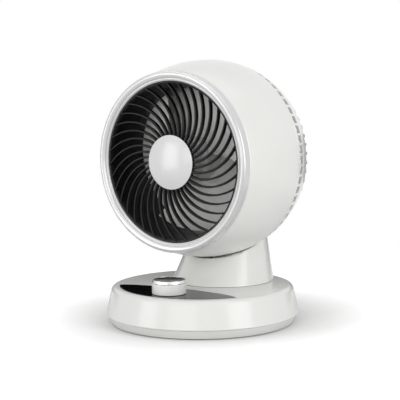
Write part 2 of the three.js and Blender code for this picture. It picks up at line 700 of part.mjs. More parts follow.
function knobBezel() {
  const inner = KNOB_RADIUS - BEZEL_WIDTH;
  const ring = turnedUpright([
    [inner, bezelBottom],
    [KNOB_RADIUS, bezelBottom],
    [KNOB_RADIUS, bezelBottom + BEZEL_SIDE],
    [inner + BEZEL_CREST, knobTop],
    [inner, knobTop],
  ], MEDIUM_ROUND);
  const notch = box(POINTER_WIDTH, 2 * POINTER_DEPTH, BEZEL_HEIGHT, 0, -KNOB_RADIUS, bezelBottom);
  return cut(ring, notch.rotateZ(POINTER_ANGLE * DEG));
}

function knobCap() {
  const radius = KNOB_RADIUS - BEZEL_WIDTH - GAP;
  const dishRadius = radius - KNOB_CAP_RIM;
  const rim = knobTop - GAP;
  const outline = [[0, knobRecess + GAP], [radius, knobRecess + GAP], [radius, rim]];
  const steps = 3;
  for (let i = 0; i <= steps; i += 1) {
    const angle = 90 * i / steps * DEG;
    outline.push([i < steps ? dishRadius * Math.cos(angle) : 0, rim - KNOB_CAP_DISH * Math.sin(angle)]);
  }
  return turnedUpright(outline, MEDIUM_ROUND);
}

function buildKnob() {
  const knob = new THREE.Group();
  const shaftBottom = switchBottom + SWITCH_FLOOR + GAP;
  const shaftTop = knobRecess - KNOB_FLOOR - GAP;
  knob.position.set(KNOB_X, KNOB_Y, 0);
  add(knob, 'knob', knobBody(), 'white');
  add(knob, 'knob_bezel', knobBezel(), 'chrome');
  add(knob, 'knob_cap', knobCap(), 'steel');
  add(knob, 'switch_shaft', rod(SHAFT_RADIUS, shaftBottom, shaftTop), 'steel');
  return knob;
}

// ---------------------------------------------------------------- swivel gears
// Outline of a gear with straight-sided teeth. A tooth is drawn at each of the given angles.
function toothPoints(teeth, angle) {
  const pitch = GEAR_MODULE * teeth / 2;
  const step = 360 / teeth;
  const tip = pitch + TOOTH_ADDENDUM * GEAR_MODULE;
  const root = pitch - TOOTH_DEDENDUM * GEAR_MODULE;
  return [
    polar(root, angle - TOOTH_ROOT / 2 * step),
    polar(tip, angle - TOOTH_TIP / 2 * step),
    polar(tip, angle + TOOTH_TIP / 2 * step),
    polar(root, angle + TOOTH_ROOT / 2 * step),
  ];
}

function outlineShape(points) {
  return new THREE.Shape(points.map(([x, y]) => new THREE.Vector2(x, y)));
}

function swivelGear() {
  const step = 360 / GEAR_TEETH;
  const count = 2 * Math.floor(GEAR_SECTOR / step);
  const points = [];
  for (let i = 0; i < count; i += 1) {
    points.push(...toothPoints(GEAR_TEETH, -90 + (i - count / 2 + 0.5) * step));
  }
  for (let angle = GEAR_SECTOR - 90 + GEAR_HUB_STEP; angle < 270 - GEAR_SECTOR; angle += GEAR_HUB_STEP) {
    points.push(polar(GEAR_HUB_RADIUS, angle));
  }
  const shape = outlineShape(points);
  shape.holes.push(circlePath(PIVOT_RADIUS + GAP, MEDIUM_ROUND));
  return plate(shape, GEAR_BOTTOM, coverUnderside - GAP);
}

function swivelPinion() {
  const points = [];
  for (let i = 0; i < PINION_TEETH; i += 1) {
    points.push(...toothPoints(PINION_TEETH, 90 + 360 * i / PINION_TEETH));
  }
  const wheel = plate(outlineShape(points), GEAR_BOTTOM, coverUnderside - 2 * GAP);
  return join(wheel, rod(MOTOR_SHAFT, motorTop - MOTOR_SHAFT_DEPTH, GEAR_BOTTOM + EMBED));
}

function buildPinion() {
  const pinion = new THREE.Group();
  pinion.position.set(0, pinionY, 0);
  add(pinion, 'swivel_pinion', swivelPinion(), 'acetal');
  return pinion;
}

// ---------------------------------------------------------------- neck
// The neck is a round cone that leans back. Its own frame has the swivel axis at x = y = 0.
function leaningCone(inset, bottom, top) {
  const radiusAt = (z) => NECK_FOOT_RADIUS - inset - NECK_TAPER * (z - BASE_TOP);
  const cone = turnedUpright([
    [0, bottom],
    [radiusAt(bottom), bottom],
    [radiusAt(top), top],
    [0, top],
  ]);
  const lean = new THREE.Matrix4().set(
    1, 0, 0, 0,
    0, 1, NECK_LEAN, -NECK_LEAN * BASE_TOP,
    0, 0, 1, 0,
    0, 0, 0, 1,
  );
  return cone.applyMatrix4(lean);
}

// A ball about the head's centre, in the neck's frame.
function headBall(radius) {
  return ball(radius, HEAD_Y - NECK_Y, HEAD_Z);
}

// The slot in the saddle that the clamp bolt slides in.
function clampSlot() {
  const reach = BOLT_RADIUS + CLAMP_SLOT_SPARE;
  const front = HEAD_Y + saddleInner * Math.sin((CLAMP_ANGLE - TILT_UP) * DEG) - reach;
  const back = HEAD_Y + saddleOuter * Math.sin((CLAMP_ANGLE + TILT_DOWN) * DEG) + reach;
  const middleY = (front + back) / 2 - NECK_Y;
  return box(2 * reach, back - front, HEAD_RADIUS, 0, middleY, HEAD_Z - HEAD_RADIUS);
}

// A block that takes away what is in front of backY, under the head.
function blockInFront(backY, width) {
  const middleY = backY - NECK_Y - HEAD_RADIUS / 2;
  return box(width, HEAD_RADIUS, HEAD_RADIUS, 0, middleY, HEAD_Z - HEAD_RADIUS);
}

// Webs inside the neck take its screws from below and carry the saddle on their upper ends.
function neckWeb(angle, outer) {
  const inner = NECK_SCREW_CIRCLE - NECK_WEB_WIDTH / 2;
  const length = NECK_FOOT_RADIUS - inner;
  const bottom = turntableTop + GAP;
  const height = NECK_TOP - bottom;
  const block = box(length, NECK_WEB_WIDTH, height, inner + length / 2, 0, bottom + height / 2);
  return cut(common(block.rotateZ(angle * DEG), outer), headBall(saddleOuter + GAP));
}

function neckShell() {
  const outer = leaningCone(0, neckBottom, NECK_TOP);
  const inner = leaningCone(NECK_WALL, neckBottom - OVERCUT, NECK_TOP + OVERCUT);
  const webs = NECK_SCREW_ANGLES.map((angle) => neckWeb(angle, outer));
  const pilotTop = turntableBottom + SCREW_HEAD_HEIGHT + NECK_SCREW_LENGTH + PILOT_SPARE;
  const pilots = NECK_SCREW_ANGLES.map((angle) => {
    const [x, y] = polar(NECK_SCREW_CIRCLE, angle);
    return rod(SCREW_RADIUS + GAP, turntableBottom, pilotTop, x, y, SCREW_ROUND);
  });
  return cut(
    join(cut(outer, inner), ...webs),
    headBall(HEAD_RADIUS + SEAM),
    common(headBall(HEAD_RADIUS + SLOT_GAP), blockInFront(SLOT_BACK_Y, 2 * SLOT_HALF_WIDTH)),
    ...pilots,
  );
}

// A slice of a ball's skin under the head, inside the neck. The clamp grips it.
function tiltSaddle() {
  const inside = leaningCone(NECK_WALL + GAP, neckBottom, NECK_TOP);
  const lens = cut(common(inside, headBall(saddleOuter)), headBall(saddleInner));
  return cut(lens, blockInFront(SADDLE_FRONT_Y, 2 * NECK_FOOT_RADIUS), clampSlot());
}

function turntable() {
  const body = turnedUpright([
    [PIVOT_BORE, GEAR_BOTTOM],
    [PIVOT_RADIUS, GEAR_BOTTOM],
    [PIVOT_RADIUS, turntableBottom],
    [TURNTABLE_RADIUS, turntableBottom],
    [TURNTABLE_RADIUS, turntableTop],
    [PIVOT_BORE, turntableTop],
  ], MEDIUM_ROUND);
  const holes = NECK_SCREW_ANGLES.flatMap((angle) => {
    const [x, y] = polar(NECK_SCREW_CIRCLE, angle);
    const seat = turntableBottom + SCREW_HEAD_HEIGHT;
    return [
      rod(SCREW_HEAD + GAP, turntableBottom - OVERCUT, seat + GAP, x, y, SCREW_ROUND),
      rod(SCREW_RADIUS + GAP, turntableBottom - OVERCUT, turntableTop + OVERCUT, x, y, SCREW_ROUND),
    ];
  });
  return cut(body, ...holes);
}

function swivelRetainer() {
  const top = GEAR_BOTTOM - GAP;
  return turnedUpright([
    [PIVOT_BORE, top - RETAINER_THICKNESS],
    [RETAINER_RADIUS, top - RETAINER_THICKNESS],
    [RETAINER_RADIUS, top],
    [PIVOT_BORE, top],
  ], MEDIUM_ROUND);
}

function buildNeck() {
  const neck = new THREE.Group();
  neck.position.set(0, NECK_Y, 0);
  add(neck, 'neck_shell', neckShell(), 'white');
  add(neck, 'tilt_saddle', tiltSaddle(), 'white');
  add(neck, 'neck_turntable', turntable(), 'acetal');
  add(neck, 'swivel_gear', swivelGear(), 'acetal');
  add(neck, 'swivel_retainer', swivelRetainer(), 'steel');
  NECK_SCREW_ANGLES.forEach((angle, i) => {
    const place = [...polar(NECK_SCREW_CIRCLE, angle), turntableBottom + SCREW_HEAD_HEIGHT];
    add(neck, `neck_screw_${i + 1}`, screw(NECK_SCREW_LENGTH), 'steel', place);
  });
  return neck;
}

// ---------------------------------------------------------------- head: shell, ring and grilles
// A block that stands on the inside of the head at one angle about the fan axis.
function wallBlock(angle, inner, outer, front, back, width) {
  const length = outer - inner;
  const block = box(length, back - front, width, inner + length / 2, (front + back) / 2, 0);
  return block.rotateY(-angle * DEG);
}

function headShell() {
  const steps = 5;
  const outer = [];
  for (let i = 0; i <= steps; i += 1) {
    const y = SHELL_FRONT + (shellBack - SHELL_FRONT) * i / steps;
    outer.push([shellRadius(y), y]);
  }
  const inner = outer.map(([r, y]) => [r - SHELL_WALL, y]);
  const body = turned([...outer, ...inner.reverse()]);
  const solid = turned([[0, SHELL_FRONT], ...outer, [0, shellBack]]);
  const ductBoss = [ductFlangeBack + GAP, ductFlangeBack + GAP + DUCT_BOSS_LENGTH];
  const rearBoss = [shellBack - REAR_BOSS_LENGTH, shellBack - GAP];
  const bosses = HEAD_SCREW_ANGLES.flatMap((angle) => [
    wallBlock(angle, ductScrewCircle - DUCT_BOSS_DEPTH, HEAD_RADIUS, ...ductBoss, HEAD_BOSS_WIDTH),
    wallBlock(angle, rearScrewCircle - REAR_BOSS_DEPTH, HEAD_RADIUS, ...rearBoss, HEAD_BOSS_WIDTH),
  ].map((block) => common(block, solid)));
  const pilots = HEAD_SCREW_ANGLES.flatMap((angle) => {
    const [ductX, ductZ] = polar(ductScrewCircle, angle);
    const [rearX, rearZ] = polar(rearScrewCircle, angle);
    const ductPilotEnd = ductFlangeFront + DUCT_SCREW_LENGTH + PILOT_SPARE;
    return [
      rodAlongY(SCREW_RADIUS + GAP, ductFlangeBack, ductPilotEnd, ductX, ductZ, SCREW_ROUND),
      rodAlongY(SCREW_RADIUS + GAP, rearBoss[0] - OVERCUT, shellBack + OVERCUT, rearX, rearZ, SCREW_ROUND),
    ];
  });
  return cut(join(body, ...bosses), ...pilots);
}

function frontRing() {
  return turned([
    [openingRadius, lipBack],
    [openingRadius, OPENING_Y],
    [openingRadius + RING_LIP, OPENING_Y - RING_LIP_RISE],
    [ringOuter - RING_CREST, RING_FRONT + RING_CREST_FALL],
    [ringOuter - RING_EDGE, RING_FRONT],
    [ringOuter, RING_FRONT + RING_EDGE_DEPTH],
    [ringOuter, SHELL_FRONT - GAP],
    [tongueOuter, SHELL_FRONT - GAP],
    [tongueOuter, tongueEnd],
    [tongueInner, tongueEnd],
    [tongueInner, lipBack],
  ]);
}

// One opening between two neighbouring spiral ribs.
function spiralOpening(index, inner, outer) {
  const steps = 4;
  const pitch = 360 / GRILLE_RIBS;
  const edge = (side) => {
    const points = [];
    for (let i = 0; i <= steps; i += 1) {
      const radius = inner + (outer - inner) * i / steps;
      const halfRib = GRILLE_RIB_WIDTH / 2 / radius / DEG;
      const turn = GRILLE_SWIRL * ((radius - inner) / (outer - inner)) ** GRILLE_SWIRL_POWER;
      const shift = side * (pitch / 2 - halfRib);
      points.push(polar(radius, GRILLE_PHASE + index * pitch + turn + shift));
    }
    return points;
  };
  const points = [...edge(-1), ...edge(1).reverse()];
  return new THREE.Path(points.map(([x, y]) => new THREE.Vector2(x, y)));
}

function spiralGrille() {
  const outer = openingRadius - GAP;
  const ribFront = OPENING_Y + GAP;
  const ribs = disc(outer, ROUND);
  for (let i = 0; i < GRILLE_RIBS; i += 1) {
    ribs.holes.push(spiralOpening(i, GRILLE_HUB_RADIUS, outer - GRILLE_RIM));
  }
  ribs.holes.push(circlePath(CAP_PEG_RADIUS + GAP, SMALL_ROUND));
  const face = standingPlate(ribs, ribFront, ribFront + GRILLE_RIB_THICKNESS);
  const flangeInner = outer - GRILLE_FLANGE_OVERLAP;
  const flangeOuter = tongueInner - GAP;
  const flangeBack = grilleFlangeFront + GRILLE_FLANGE;
  return join(face, ringAlongY(flangeInner, flangeOuter, grilleFlangeFront, flangeBack, ROUND));
}

function hubCap() {
  const back = OPENING_Y;
  const outline = [
    [0, back + CAP_PEG_LENGTH],
    [CAP_PEG_RADIUS, back + CAP_PEG_LENGTH],
    [CAP_PEG_RADIUS, back],
    [CAP_RADIUS, back],
  ];
  const steps = 5;
  for (let i = 0; i <= steps; i += 1) {
    const share = 1 - i / steps;
    outline.push([CAP_RADIUS * share, back - CAP_EDGE - CAP_DOME * (1 - share ** CAP_CROWN)]);
  }
  return turned(outline);
}

function ductOuter(y) {
  const share = Math.min(1, (y - ductFront) / (THROAT_Y - ductFront));
  return openingRadius + (throatRadius - openingRadius) * share + DUCT_WALL;
}

function airDuct() {
  const flangeOuter = shellRadius(ductFlangeFront) - SHELL_WALL - 2 * GAP;
  const body = turned([
    [openingRadius, ductFront],
    [throatRadius, THROAT_Y],
    [throatRadius, 0],
    [ductBackFlange, 0],
    [ductBackFlange, -DUCT_FLANGE],
    [throatRadius + DUCT_WALL, -DUCT_FLANGE],
    [throatRadius + DUCT_WALL, THROAT_Y],
    [ductOuter(ductFlangeBack), ductFlangeBack],
    [flangeOuter, ductFlangeBack],
    [flangeOuter, ductFlangeFront],
    [ductOuter(ductFlangeFront), ductFlangeFront],
    [openingRadius + DUCT_WALL, ductFront],
  ]);
  const holes = HEAD_SCREW_ANGLES.map((angle) => {
    const [x, z] = polar(ductScrewCircle, angle);
    const [front, back] = [ductFlangeFront - OVERCUT, ductFlangeBack + OVERCUT];
    return rodAlongY(SCREW_RADIUS + GAP, front, back, x, z, SCREW_ROUND);
  });
  return cut(body, ...holes);
}

// The rear grille is a spherical lattice: rings of solid cells, and ribs between the slots.
function rearCellIsSolid(row, column) {
  if (!REAR_SLOT_ROWS.includes(row)) return true;
  const isRib = column % 2 === 0;
  const pitch = 360 / REAR_RIBS;
  const angle = (Math.floor(column / 2) + 1) * pitch;
  const overNeck = Math.abs(angle - 270) < MOUNT_PAD_ANGLE && row < MOUNT_PAD_ROW;
  return isRib || overNeck;
}

// Radius and place on Y of a ring of corners. The front edge lies square to the axis, to meet the shell.
function latticeRing(row, radius) {
  const angle = REAR_ROWS[row] * DEG;
  const y = -(row === 0 ? HEAD_RADIUS : radius) * Math.cos(angle);
  return [Math.sqrt(radius ** 2 - y ** 2), y];
}

function rearLattice() {
  const columns = 2 * REAR_RIBS;
  const pitch = 360 / REAR_RIBS;
  const rows = REAR_ROWS.length - 1;
  const positions = [];
  const index = [];
  const corner = (row, column, wall) => (row * columns + (column % columns)) * 2 + wall;
  const columnAngle = (column) => {
    const side = column % 2 === 0 ? -1 : 1;
    return (Math.floor(column / 2) + 0.5) * pitch + side * REAR_RIB_ANGLE / 2;
  };
  for (let row = 0; row <= rows; row += 1) {
    for (let column = 0; column < columns; column += 1) {
      for (const radius of [HEAD_RADIUS, HEAD_RADIUS - REAR_WALL]) {
        const [ringRadius, y] = latticeRing(row, radius);
        const [x, z] = polar(ringRadius, columnAngle(column));
        positions.push(x, y, z);
      }
    }
  }
  const poles = positions.length / 3;
  positions.push(0, HEAD_RADIUS, 0, 0, HEAD_RADIUS - REAR_WALL, 0);
  const quad = (a, b, c, d) => index.push(a, b, c, a, c, d);
  const isOpen = (row, column) => (
    row < 0 || (row < rows && !rearCellIsSolid(row, (column + columns) % columns))
  );
  for (let row = 0; row < rows; row += 1) {
    for (let column = 0; column < columns; column += 1) {
      if (isOpen(row, column)) continue;
      const [a, b] = [corner(row, column, 0), corner(row, column + 1, 0)];
      const [d, c] = [corner(row + 1, column, 0), corner(row + 1, column + 1, 0)];
      quad(a, d, c, b);
      quad(a + 1, b + 1, c + 1, d + 1);
      if (isOpen(row - 1, column)) quad(a, b, b + 1, a + 1);
      if (isOpen(row + 1, column)) quad(c, d, d + 1, c + 1);
      if (isOpen(row, column - 1)) quad(d, a, a + 1, d + 1);
      if (isOpen(row, column + 1)) quad(b, c, c + 1, b + 1);
    }
  }
  for (let column = 0; column < columns; column += 1) {
    const [a, b] = [corner(rows, column, 0), corner(rows, column + 1, 0)];
    index.push(a, poles, b, a + 1, b + 1, poles + 1);
    if (isOpen(rows - 1, column)) quad(a, b, b + 1, a + 1);
  }
  const geometry = new THREE.BufferGeometry();
  geometry.setAttribute('position', new THREE.Float32BufferAttribute(positions, 3));
  geometry.setIndex(index);
  return geometry;
}

function rearGrille() {
  const tabFront = shellBack + GAP;
  const tabBack = tabFront + REAR_TAB;
  const [tabOuter] = latticeRing(0, HEAD_RADIUS - REAR_WALL / 2);
  const tabs = HEAD_SCREW_ANGLES.map((angle) => (
    wallBlock(angle, rearScrewCircle - REAR_BOSS_DEPTH, tabOuter, tabFront, tabBack, HEAD_BOSS_WIDTH)
  ));
  const holes = HEAD_SCREW_ANGLES.map((angle) => {
    const [x, z] = polar(rearScrewCircle, angle);
    return rodAlongY(SCREW_RADIUS + GAP, tabFront - OVERCUT, tabBack + OVERCUT, x, z, SCREW_ROUND);
  });
  const boltHole = alongClamp(rodAlongY(BOLT_RADIUS + GAP, bracketInner, HEAD_RADIUS + OVERCUT));
  return cut(join(rearLattice(), ...tabs), ...holes, boltHole);
}

// ---------------------------------------------------------------- head: tilt clamp
// Turns a piece drawn along +Y so that it points from the head's centre through the clamp bolt.
function alongClamp(geometry) {
  return geometry.rotateX((CLAMP_ANGLE - 90) * DEG);
}

function tiltBracket() {
  const block = alongClamp(box(BRACKET_WIDTH, BRACKET_WIDTH, BRACKET_LENGTH, 0, bracketOuter, 0));
  const hole = rodAlongY(BOLT_RADIUS + GAP, bracketInner - OVERCUT, bracketOuter + OVERCUT);
  return cut(common(ball(bracketOuter), block), ball(bracketInner), alongClamp(hole));
}

function tiltBolt() {
  const headOuter = bracketInner - BOLT_HEAD_GAP;
  const headInner = headOuter - BOLT_HEAD_HEIGHT;
  const tail = nutEnd + BOLT_EDGE;
  return alongClamp(turned([
    [0, headInner],
    [BOLT_HEAD_RADIUS - BOLT_EDGE, headInner],
    [BOLT_HEAD_RADIUS, headInner + BOLT_EDGE],
    [BOLT_HEAD_RADIUS, headOuter],
    [BOLT_RADIUS, headOuter],
    [BOLT_RADIUS, tail],
    [0, tail],
  ], SMALL_ROUND));
}

// A stack of disc springs, drawn as one folded sleeve round the bolt.
function tiltSpring() {
  const from = washerOuter + GAP;
  const bore = BOLT_RADIUS + GAP;
  const rise = (SPRING_LENGTH - SPRING_STRIP) / SPRING_DISCS;
  const near = [];
  const far = [];
  for (let i = 0; i <= SPRING_DISCS; i += 1) {
    const y = from + rise * i;
    const atBore = i % 2 === 0;
    const radius = atBore ? bore : NUT_RADIUS - SPRING_STRIP;
    near.push([radius, y + SPRING_STRIP]);
    far.push([radius + SPRING_STRIP + (atBore ? SPRING_FOLD : 0), y]);
  }
  return alongClamp(turned([...far, ...near.reverse()], SMALL_ROUND));
}

function tiltNut() {
  return alongClamp(hexNut(BOLT_RADIUS + GAP, NUT_RADIUS, springEnd + GAP, nutEnd));
}

// ---------------------------------------------------------------- head: motor
function motorSpider() {
  const back = GAP + SPIDER_THICKNESS;
  const hub = rodAlongY(SPIDER_RADIUS, GAP, back, 0, 0, MEDIUM_ROUND);
  const arms = SPIDER_ARM_ANGLES.map((angle) => (
    wallBlock(angle, SPIDER_RADIUS - SPIDER_ARM, ductBackFlange - GAP, GAP, back, SPIDER_ARM)
  ));
  return cut(join(hub, ...arms), rodAlongY(BEARING_RADIUS, GAP - OVERCUT, back + OVERCUT));
}

// Front wall of the motor, with a collar that seats the front bearing.
function motorEndCap() {
  const collarBack = endCapBack + GAP + BEARING_WIDTH;
  return turned([
    [axleHole, motorFront],
    [CAN_RADIUS, motorFront],
    [CAN_RADIUS, endCapBack],
    [bearingSeat + BEARING_SEAT_WALL, endCapBack],
    [bearingSeat + BEARING_SEAT_WALL, collarBack],
    [bearingSeat, collarBack],
    [bearingSeat, endCapBack],
    [axleHole, endCapBack],
  ], MOTOR_ROUND);
}

function motorCan() {
  const collarFront = canFloor - GAP - BEARING_WIDTH;
  return turned([
    [CAN_RADIUS - CAN_WALL, endCapBack + GAP],
    [CAN_RADIUS, endCapBack + GAP],
    [CAN_RADIUS, canBack],
    [axleHole, canBack],
    [axleHole, canFloor],
    [bearingSeat, canFloor],
    [bearingSeat, collarFront],
    [bearingSeat + BEARING_SEAT_WALL, collarFront],
    [bearingSeat + BEARING_SEAT_WALL, canFloor],
    [CAN_RADIUS - CAN_WALL, canFloor],
  ], MOTOR_ROUND);
}

function addMotor(head) {
  const statorHalf = ROTOR_LENGTH / 2 + STATOR_OVERHANG;
  const statorEnds = [rotorMiddle - statorHalf, rotorMiddle + statorHalf];
  const stator = ringAlongY(ROTOR_RADIUS + 2 * GAP, STATOR_RADIUS, ...statorEnds, MOTOR_ROUND);
  const bearing = () => ringAlongY(axleBore, BEARING_RADIUS, 0, BEARING_WIDTH);
  add(head, 'motor_spider', motorSpider(), 'black');
  add(head, 'motor_end_cap', motorEndCap(), 'steel');
  add(head, 'motor_can', motorCan(), 'steel');
  add(head, 'motor_stator', stator, 'copper');
  add(head, 'motor_bearing_front', bearing(), 'chrome', [0, endCapBack + GAP, 0]);
  add(head, 'motor_bearing_rear', bearing(), 'chrome', [0, canFloor - GAP - BEARING_WIDTH, 0]);
}

// ---------------------------------------------------------------- impeller
function blade(index) {
  const radialSteps = 3;
  const chordSteps = 7;
  const inner = IMPELLER_HUB - BLADE_ROOT;
  const outer = throatRadius - BLADE_TIP_GAP;
  const front = IMPELLER_FRONT + BLADE_SETBACK;
  const back = IMPELLER_BACK - HUB_BORE_SHORT;
  const positions = [];
  const triangles = [];
  const row = chordSteps + 1;
  const at = (i, j, face) => (i * row + j) * 2 + face;
  for (let i = 0; i <= radialSteps; i += 1) {
    for (let j = 0; j <= chordSteps; j += 1) {
      const radius = inner + (outer - inner) * i / radialSteps;
      const along = j / chordSteps;
      const middle = (inner + outer) / 2;
      const sweep = BLADE_SWEEP * (radius - middle);
      const angle = BLADE_PHASE + 360 * index / BLADES + BLADE_ANGLE * (along - 0.5) + sweep;
      const [x, z] = polar(radius, angle);
      const y = front + (back - front) * (along + BLADE_CAMBER * Math.sin(along * 180 * DEG));
      positions.push(x, y, z, x, y + BLADE_THICKNESS, z);
    }
  }
  const quad = (a, b, c, d) => triangles.push(a, b, c, a, c, d);
  for (let i = 0; i < radialSteps; i += 1) {
    for (let j = 0; j < chordSteps; j += 1) {
      quad(at(i, j, 0), at(i + 1, j, 0), at(i + 1, j + 1, 0), at(i, j + 1, 0));
      quad(at(i, j, 1), at(i, j + 1, 1), at(i + 1, j + 1, 1), at(i + 1, j, 1));
    }
    quad(at(i, 0, 0), at(i, 0, 1), at(i + 1, 0, 1), at(i + 1, 0, 0));
    quad(at(i, chordSteps, 0), at(i + 1, chordSteps, 0), at(i + 1, chordSteps, 1), at(i, chordSteps, 1));
  }
  for (let j = 0; j < chordSteps; j += 1) {
    quad(at(0, j, 0), at(0, j + 1, 0), at(0, j + 1, 1), at(0, j, 1));
    quad(at(radialSteps, j, 0), at(radialSteps, j, 1), at(radialSteps, j + 1, 1), at(radialSteps, j + 1, 0));
  }
  const geometry = new THREE.BufferGeometry();
  geometry.setAttribute('position', new THREE.Float32BufferAttribute(positions, 3));
  geometry.setIndex(triangles);
  return geometry;
}

function impeller() {
  const faceBack = IMPELLER_FRONT + HUB_FACE;
  const sleeveBack = IMPELLER_BACK - HUB_BORE_SHORT;
  const noseRise = HUB_NOSE * (1 - Math.cos(45 * DEG));
  const hub = turned([
    [axleBore, IMPELLER_FRONT],
    [IMPELLER_HUB - HUB_NOSE, IMPELLER_FRONT],
    [IMPELLER_HUB - noseRise, IMPELLER_FRONT + noseRise],
    [IMPELLER_HUB, IMPELLER_FRONT + HUB_NOSE],
    [IMPELLER_HUB, IMPELLER_BACK],
    [IMPELLER_HUB - HUB_WALL, IMPELLER_BACK],
    [IMPELLER_HUB - HUB_WALL, faceBack],
    [axleBore + HUB_BORE_WALL, faceBack],
    [axleBore + HUB_BORE_WALL, sleeveBack],
    [axleBore, sleeveBack],
  ], MEDIUM_ROUND);
  const blades = [];
  for (let i = 0; i < BLADES; i += 1) {
    blades.push(blade(i));
  }
  return join(hub, ...blades);
}

function buildImpeller() {
  const turning = new THREE.Group();
  const nutBack = IMPELLER_FRONT - GAP;
  const axleBack = canFloor - AXLE_CLEARANCE;
  const rotorEnds = [rotorMiddle - ROTOR_LENGTH / 2, rotorMiddle + ROTOR_LENGTH / 2];
  add(turning, 'impeller', impeller(), 'bladeGrey');
  add(turning, 'impeller_nut', hexNut(axleBore, NUT_RADIUS, nutBack - NUT_HEIGHT, nutBack), 'steel');
  add(turning, 'motor_shaft', rodAlongY(AXLE_RADIUS, AXLE_FRONT, axleBack), 'steel');
  add(turning, 'motor_rotor', ringAlongY(axleBore, ROTOR_RADIUS, ...rotorEnds, MOTOR_ROUND), 'steel');
  return turning;
}

// ---------------------------------------------------------------- head
function headScrew(length) {
  return screw(length).rotateX(-Math.PI / 2);
}

function buildHead() {
  const head = new THREE.Group();
  head.position.set(0, HEAD_Y - NECK_Y, HEAD_Z);
  add(head, 'head_shell', headShell(), 'white');
  add(head, 'front_ring', frontRing(), 'satin');
  add(head, 'spiral_grille', spiralGrille(), 'black');
  add(head, 'hub_cap', hubCap(), 'white');
  add(head, 'air_duct', airDuct(), 'black');
  add(head, 'rear_grille', rearGrille(), 'white');
  HEAD_SCREW_ANGLES.forEach((angle, i) => {
    const [ductX, ductZ] = polar(ductScrewCircle, angle);
    const [rearX, rearZ] = polar(rearScrewCircle, angle);
    const ductSeat = [ductX, ductFlangeFront - GAP, ductZ];
    const rearSeat = [rearX, shellBack - REAR_BOSS_LENGTH - GAP, rearZ];
    add(head, `duct_screw_${i + 1}`, headScrew(DUCT_SCREW_LENGTH), 'steel', ductSeat);
    add(head, `rear_screw_${i + 1}`, headScrew(REAR_SCREW_LENGTH), 'steel', rearSeat);
  });
  add(head, 'tilt_bracket', tiltBracket(), 'steel');
  add(head, 'tilt_bolt', tiltBolt(), 'steel');
  const washer = alongClamp(ringAlongY(BOLT_RADIUS + GAP, PAD_RADIUS, washerInner, washerOuter));
  add(head, 'tilt_washer', washer, 'acetal');
  add(head, 'tilt_spring', tiltSpring(), 'steel');
  add(head, 'tilt_nut', tiltNut(), 'steel');
  addMotor(head);
  head.add(buildImpeller());
  return head;
}

const fan = new THREE.Group();
const neck = buildNeck();
neck.add(buildHead());
fan.add(buildBase(), buildKnob(), buildPinion(), neck);

export default fan;
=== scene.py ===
"""Desktop air circulator fan: the finished surfaces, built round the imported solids.

Sizes are in millimetres, as in the solids, and turn into metres where a mesh is made.
The origin is on the table under the middle of the base, and the fan blows to -Y.
"""

import math

import bmesh
import bpy
import numpy as np
from mathutils import Matrix, Vector


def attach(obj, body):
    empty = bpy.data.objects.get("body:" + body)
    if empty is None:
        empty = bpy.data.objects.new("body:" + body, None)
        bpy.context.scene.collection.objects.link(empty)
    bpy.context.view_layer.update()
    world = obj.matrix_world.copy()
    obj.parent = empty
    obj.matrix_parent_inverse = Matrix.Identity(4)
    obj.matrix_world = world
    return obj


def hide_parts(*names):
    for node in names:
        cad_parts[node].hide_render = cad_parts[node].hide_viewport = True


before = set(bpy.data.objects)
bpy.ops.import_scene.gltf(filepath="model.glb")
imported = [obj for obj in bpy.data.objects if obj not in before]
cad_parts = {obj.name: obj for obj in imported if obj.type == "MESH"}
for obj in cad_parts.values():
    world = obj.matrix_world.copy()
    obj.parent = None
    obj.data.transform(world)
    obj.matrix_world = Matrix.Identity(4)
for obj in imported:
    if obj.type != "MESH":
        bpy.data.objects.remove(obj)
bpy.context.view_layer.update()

# -------- sizes (mm, degrees)
MM = 0.001
GAP = 0.3                          # clearance between neighbouring pieces
SEGMENTS = 224                     # steps round a large turned piece
SMALL_SEGMENTS = 96                # steps round a knob or a hub
TINY_SEGMENTS = 40                 # steps round a foot or a screw
SHARP_ANGLE = 38                   # edges steeper than this stay crisp

RIM_RADIUS = 101.9
RIM_HEIGHT = 10.2
BASE_TOP = 39.2
BASE_TOP_RADIUS = 95.6
SHOULDER = 3.5
COVER_WALL = 2.5
COVER_TOP = 3
SKIRT_TOP_STEP = 1.8
SKIRT_FOOT_STEP = 6.3
PLATE_BOTTOM = 1
PLATE_FLOOR = PLATE_BOTTOM + 3
FOOT_RADIUS = 7
FOOT_HEIGHT = 2.2
FOOT_RECESS = 1.5
FOOT_HOLLOW = 0.35
FOOT_INSET = 23.9
BASE_SCREW_INSET = 18.9
BASE_SCREW_ANGLES = (20, 160, 200, 340)
SCREW_HEAD = 2.6                   # radii and depths of the screws under the base
SCREW_HEAD_HEIGHT = 1.6
SCREW_SHANK = 1.3
SCREW_END = 14.2
SCREW_PLAY = 0.6                   # room round a screw in its hole
CROSS_REACH = 1.7
CROSS_WIDTH = 0.5
GROOVE_INNER = 23.7                # bearing groove in the cover under the neck
GROOVE_OUTER = 34.3
GROOVE_DEPTH = 0.8
OVERCUT = 1                        # how far a cutter reaches past what it cuts

KNOB_X = 3.9
KNOB_Y = -62.8
KNOB_RADIUS = 17.5
KNOB_HEIGHT = 14.6
KNOB_WALL = 2.4
BEZEL_HEIGHT = 3
BEZEL_WIDTH = 1.2
CAP_SEAT = 1.2
CAP_DISH = 2.2
DISH_STEPS = 18
DISH_GROOVE = 0.05
POINTER_ANGLE = 36
POINTER_HALF_WIDTH = 1.2
SHAFT_RADIUS = 3
PANEL_MARGIN = 8.6
PANEL_HALF_LENGTH = 72.5
PANEL_TURN = 1.8
PANEL_INNER_Y = -34
PANEL_FULLNESS = 0.8
PANEL_PROUD = 0.2
PANEL_THICKNESS = 1.6
PANEL_STEPS = 72

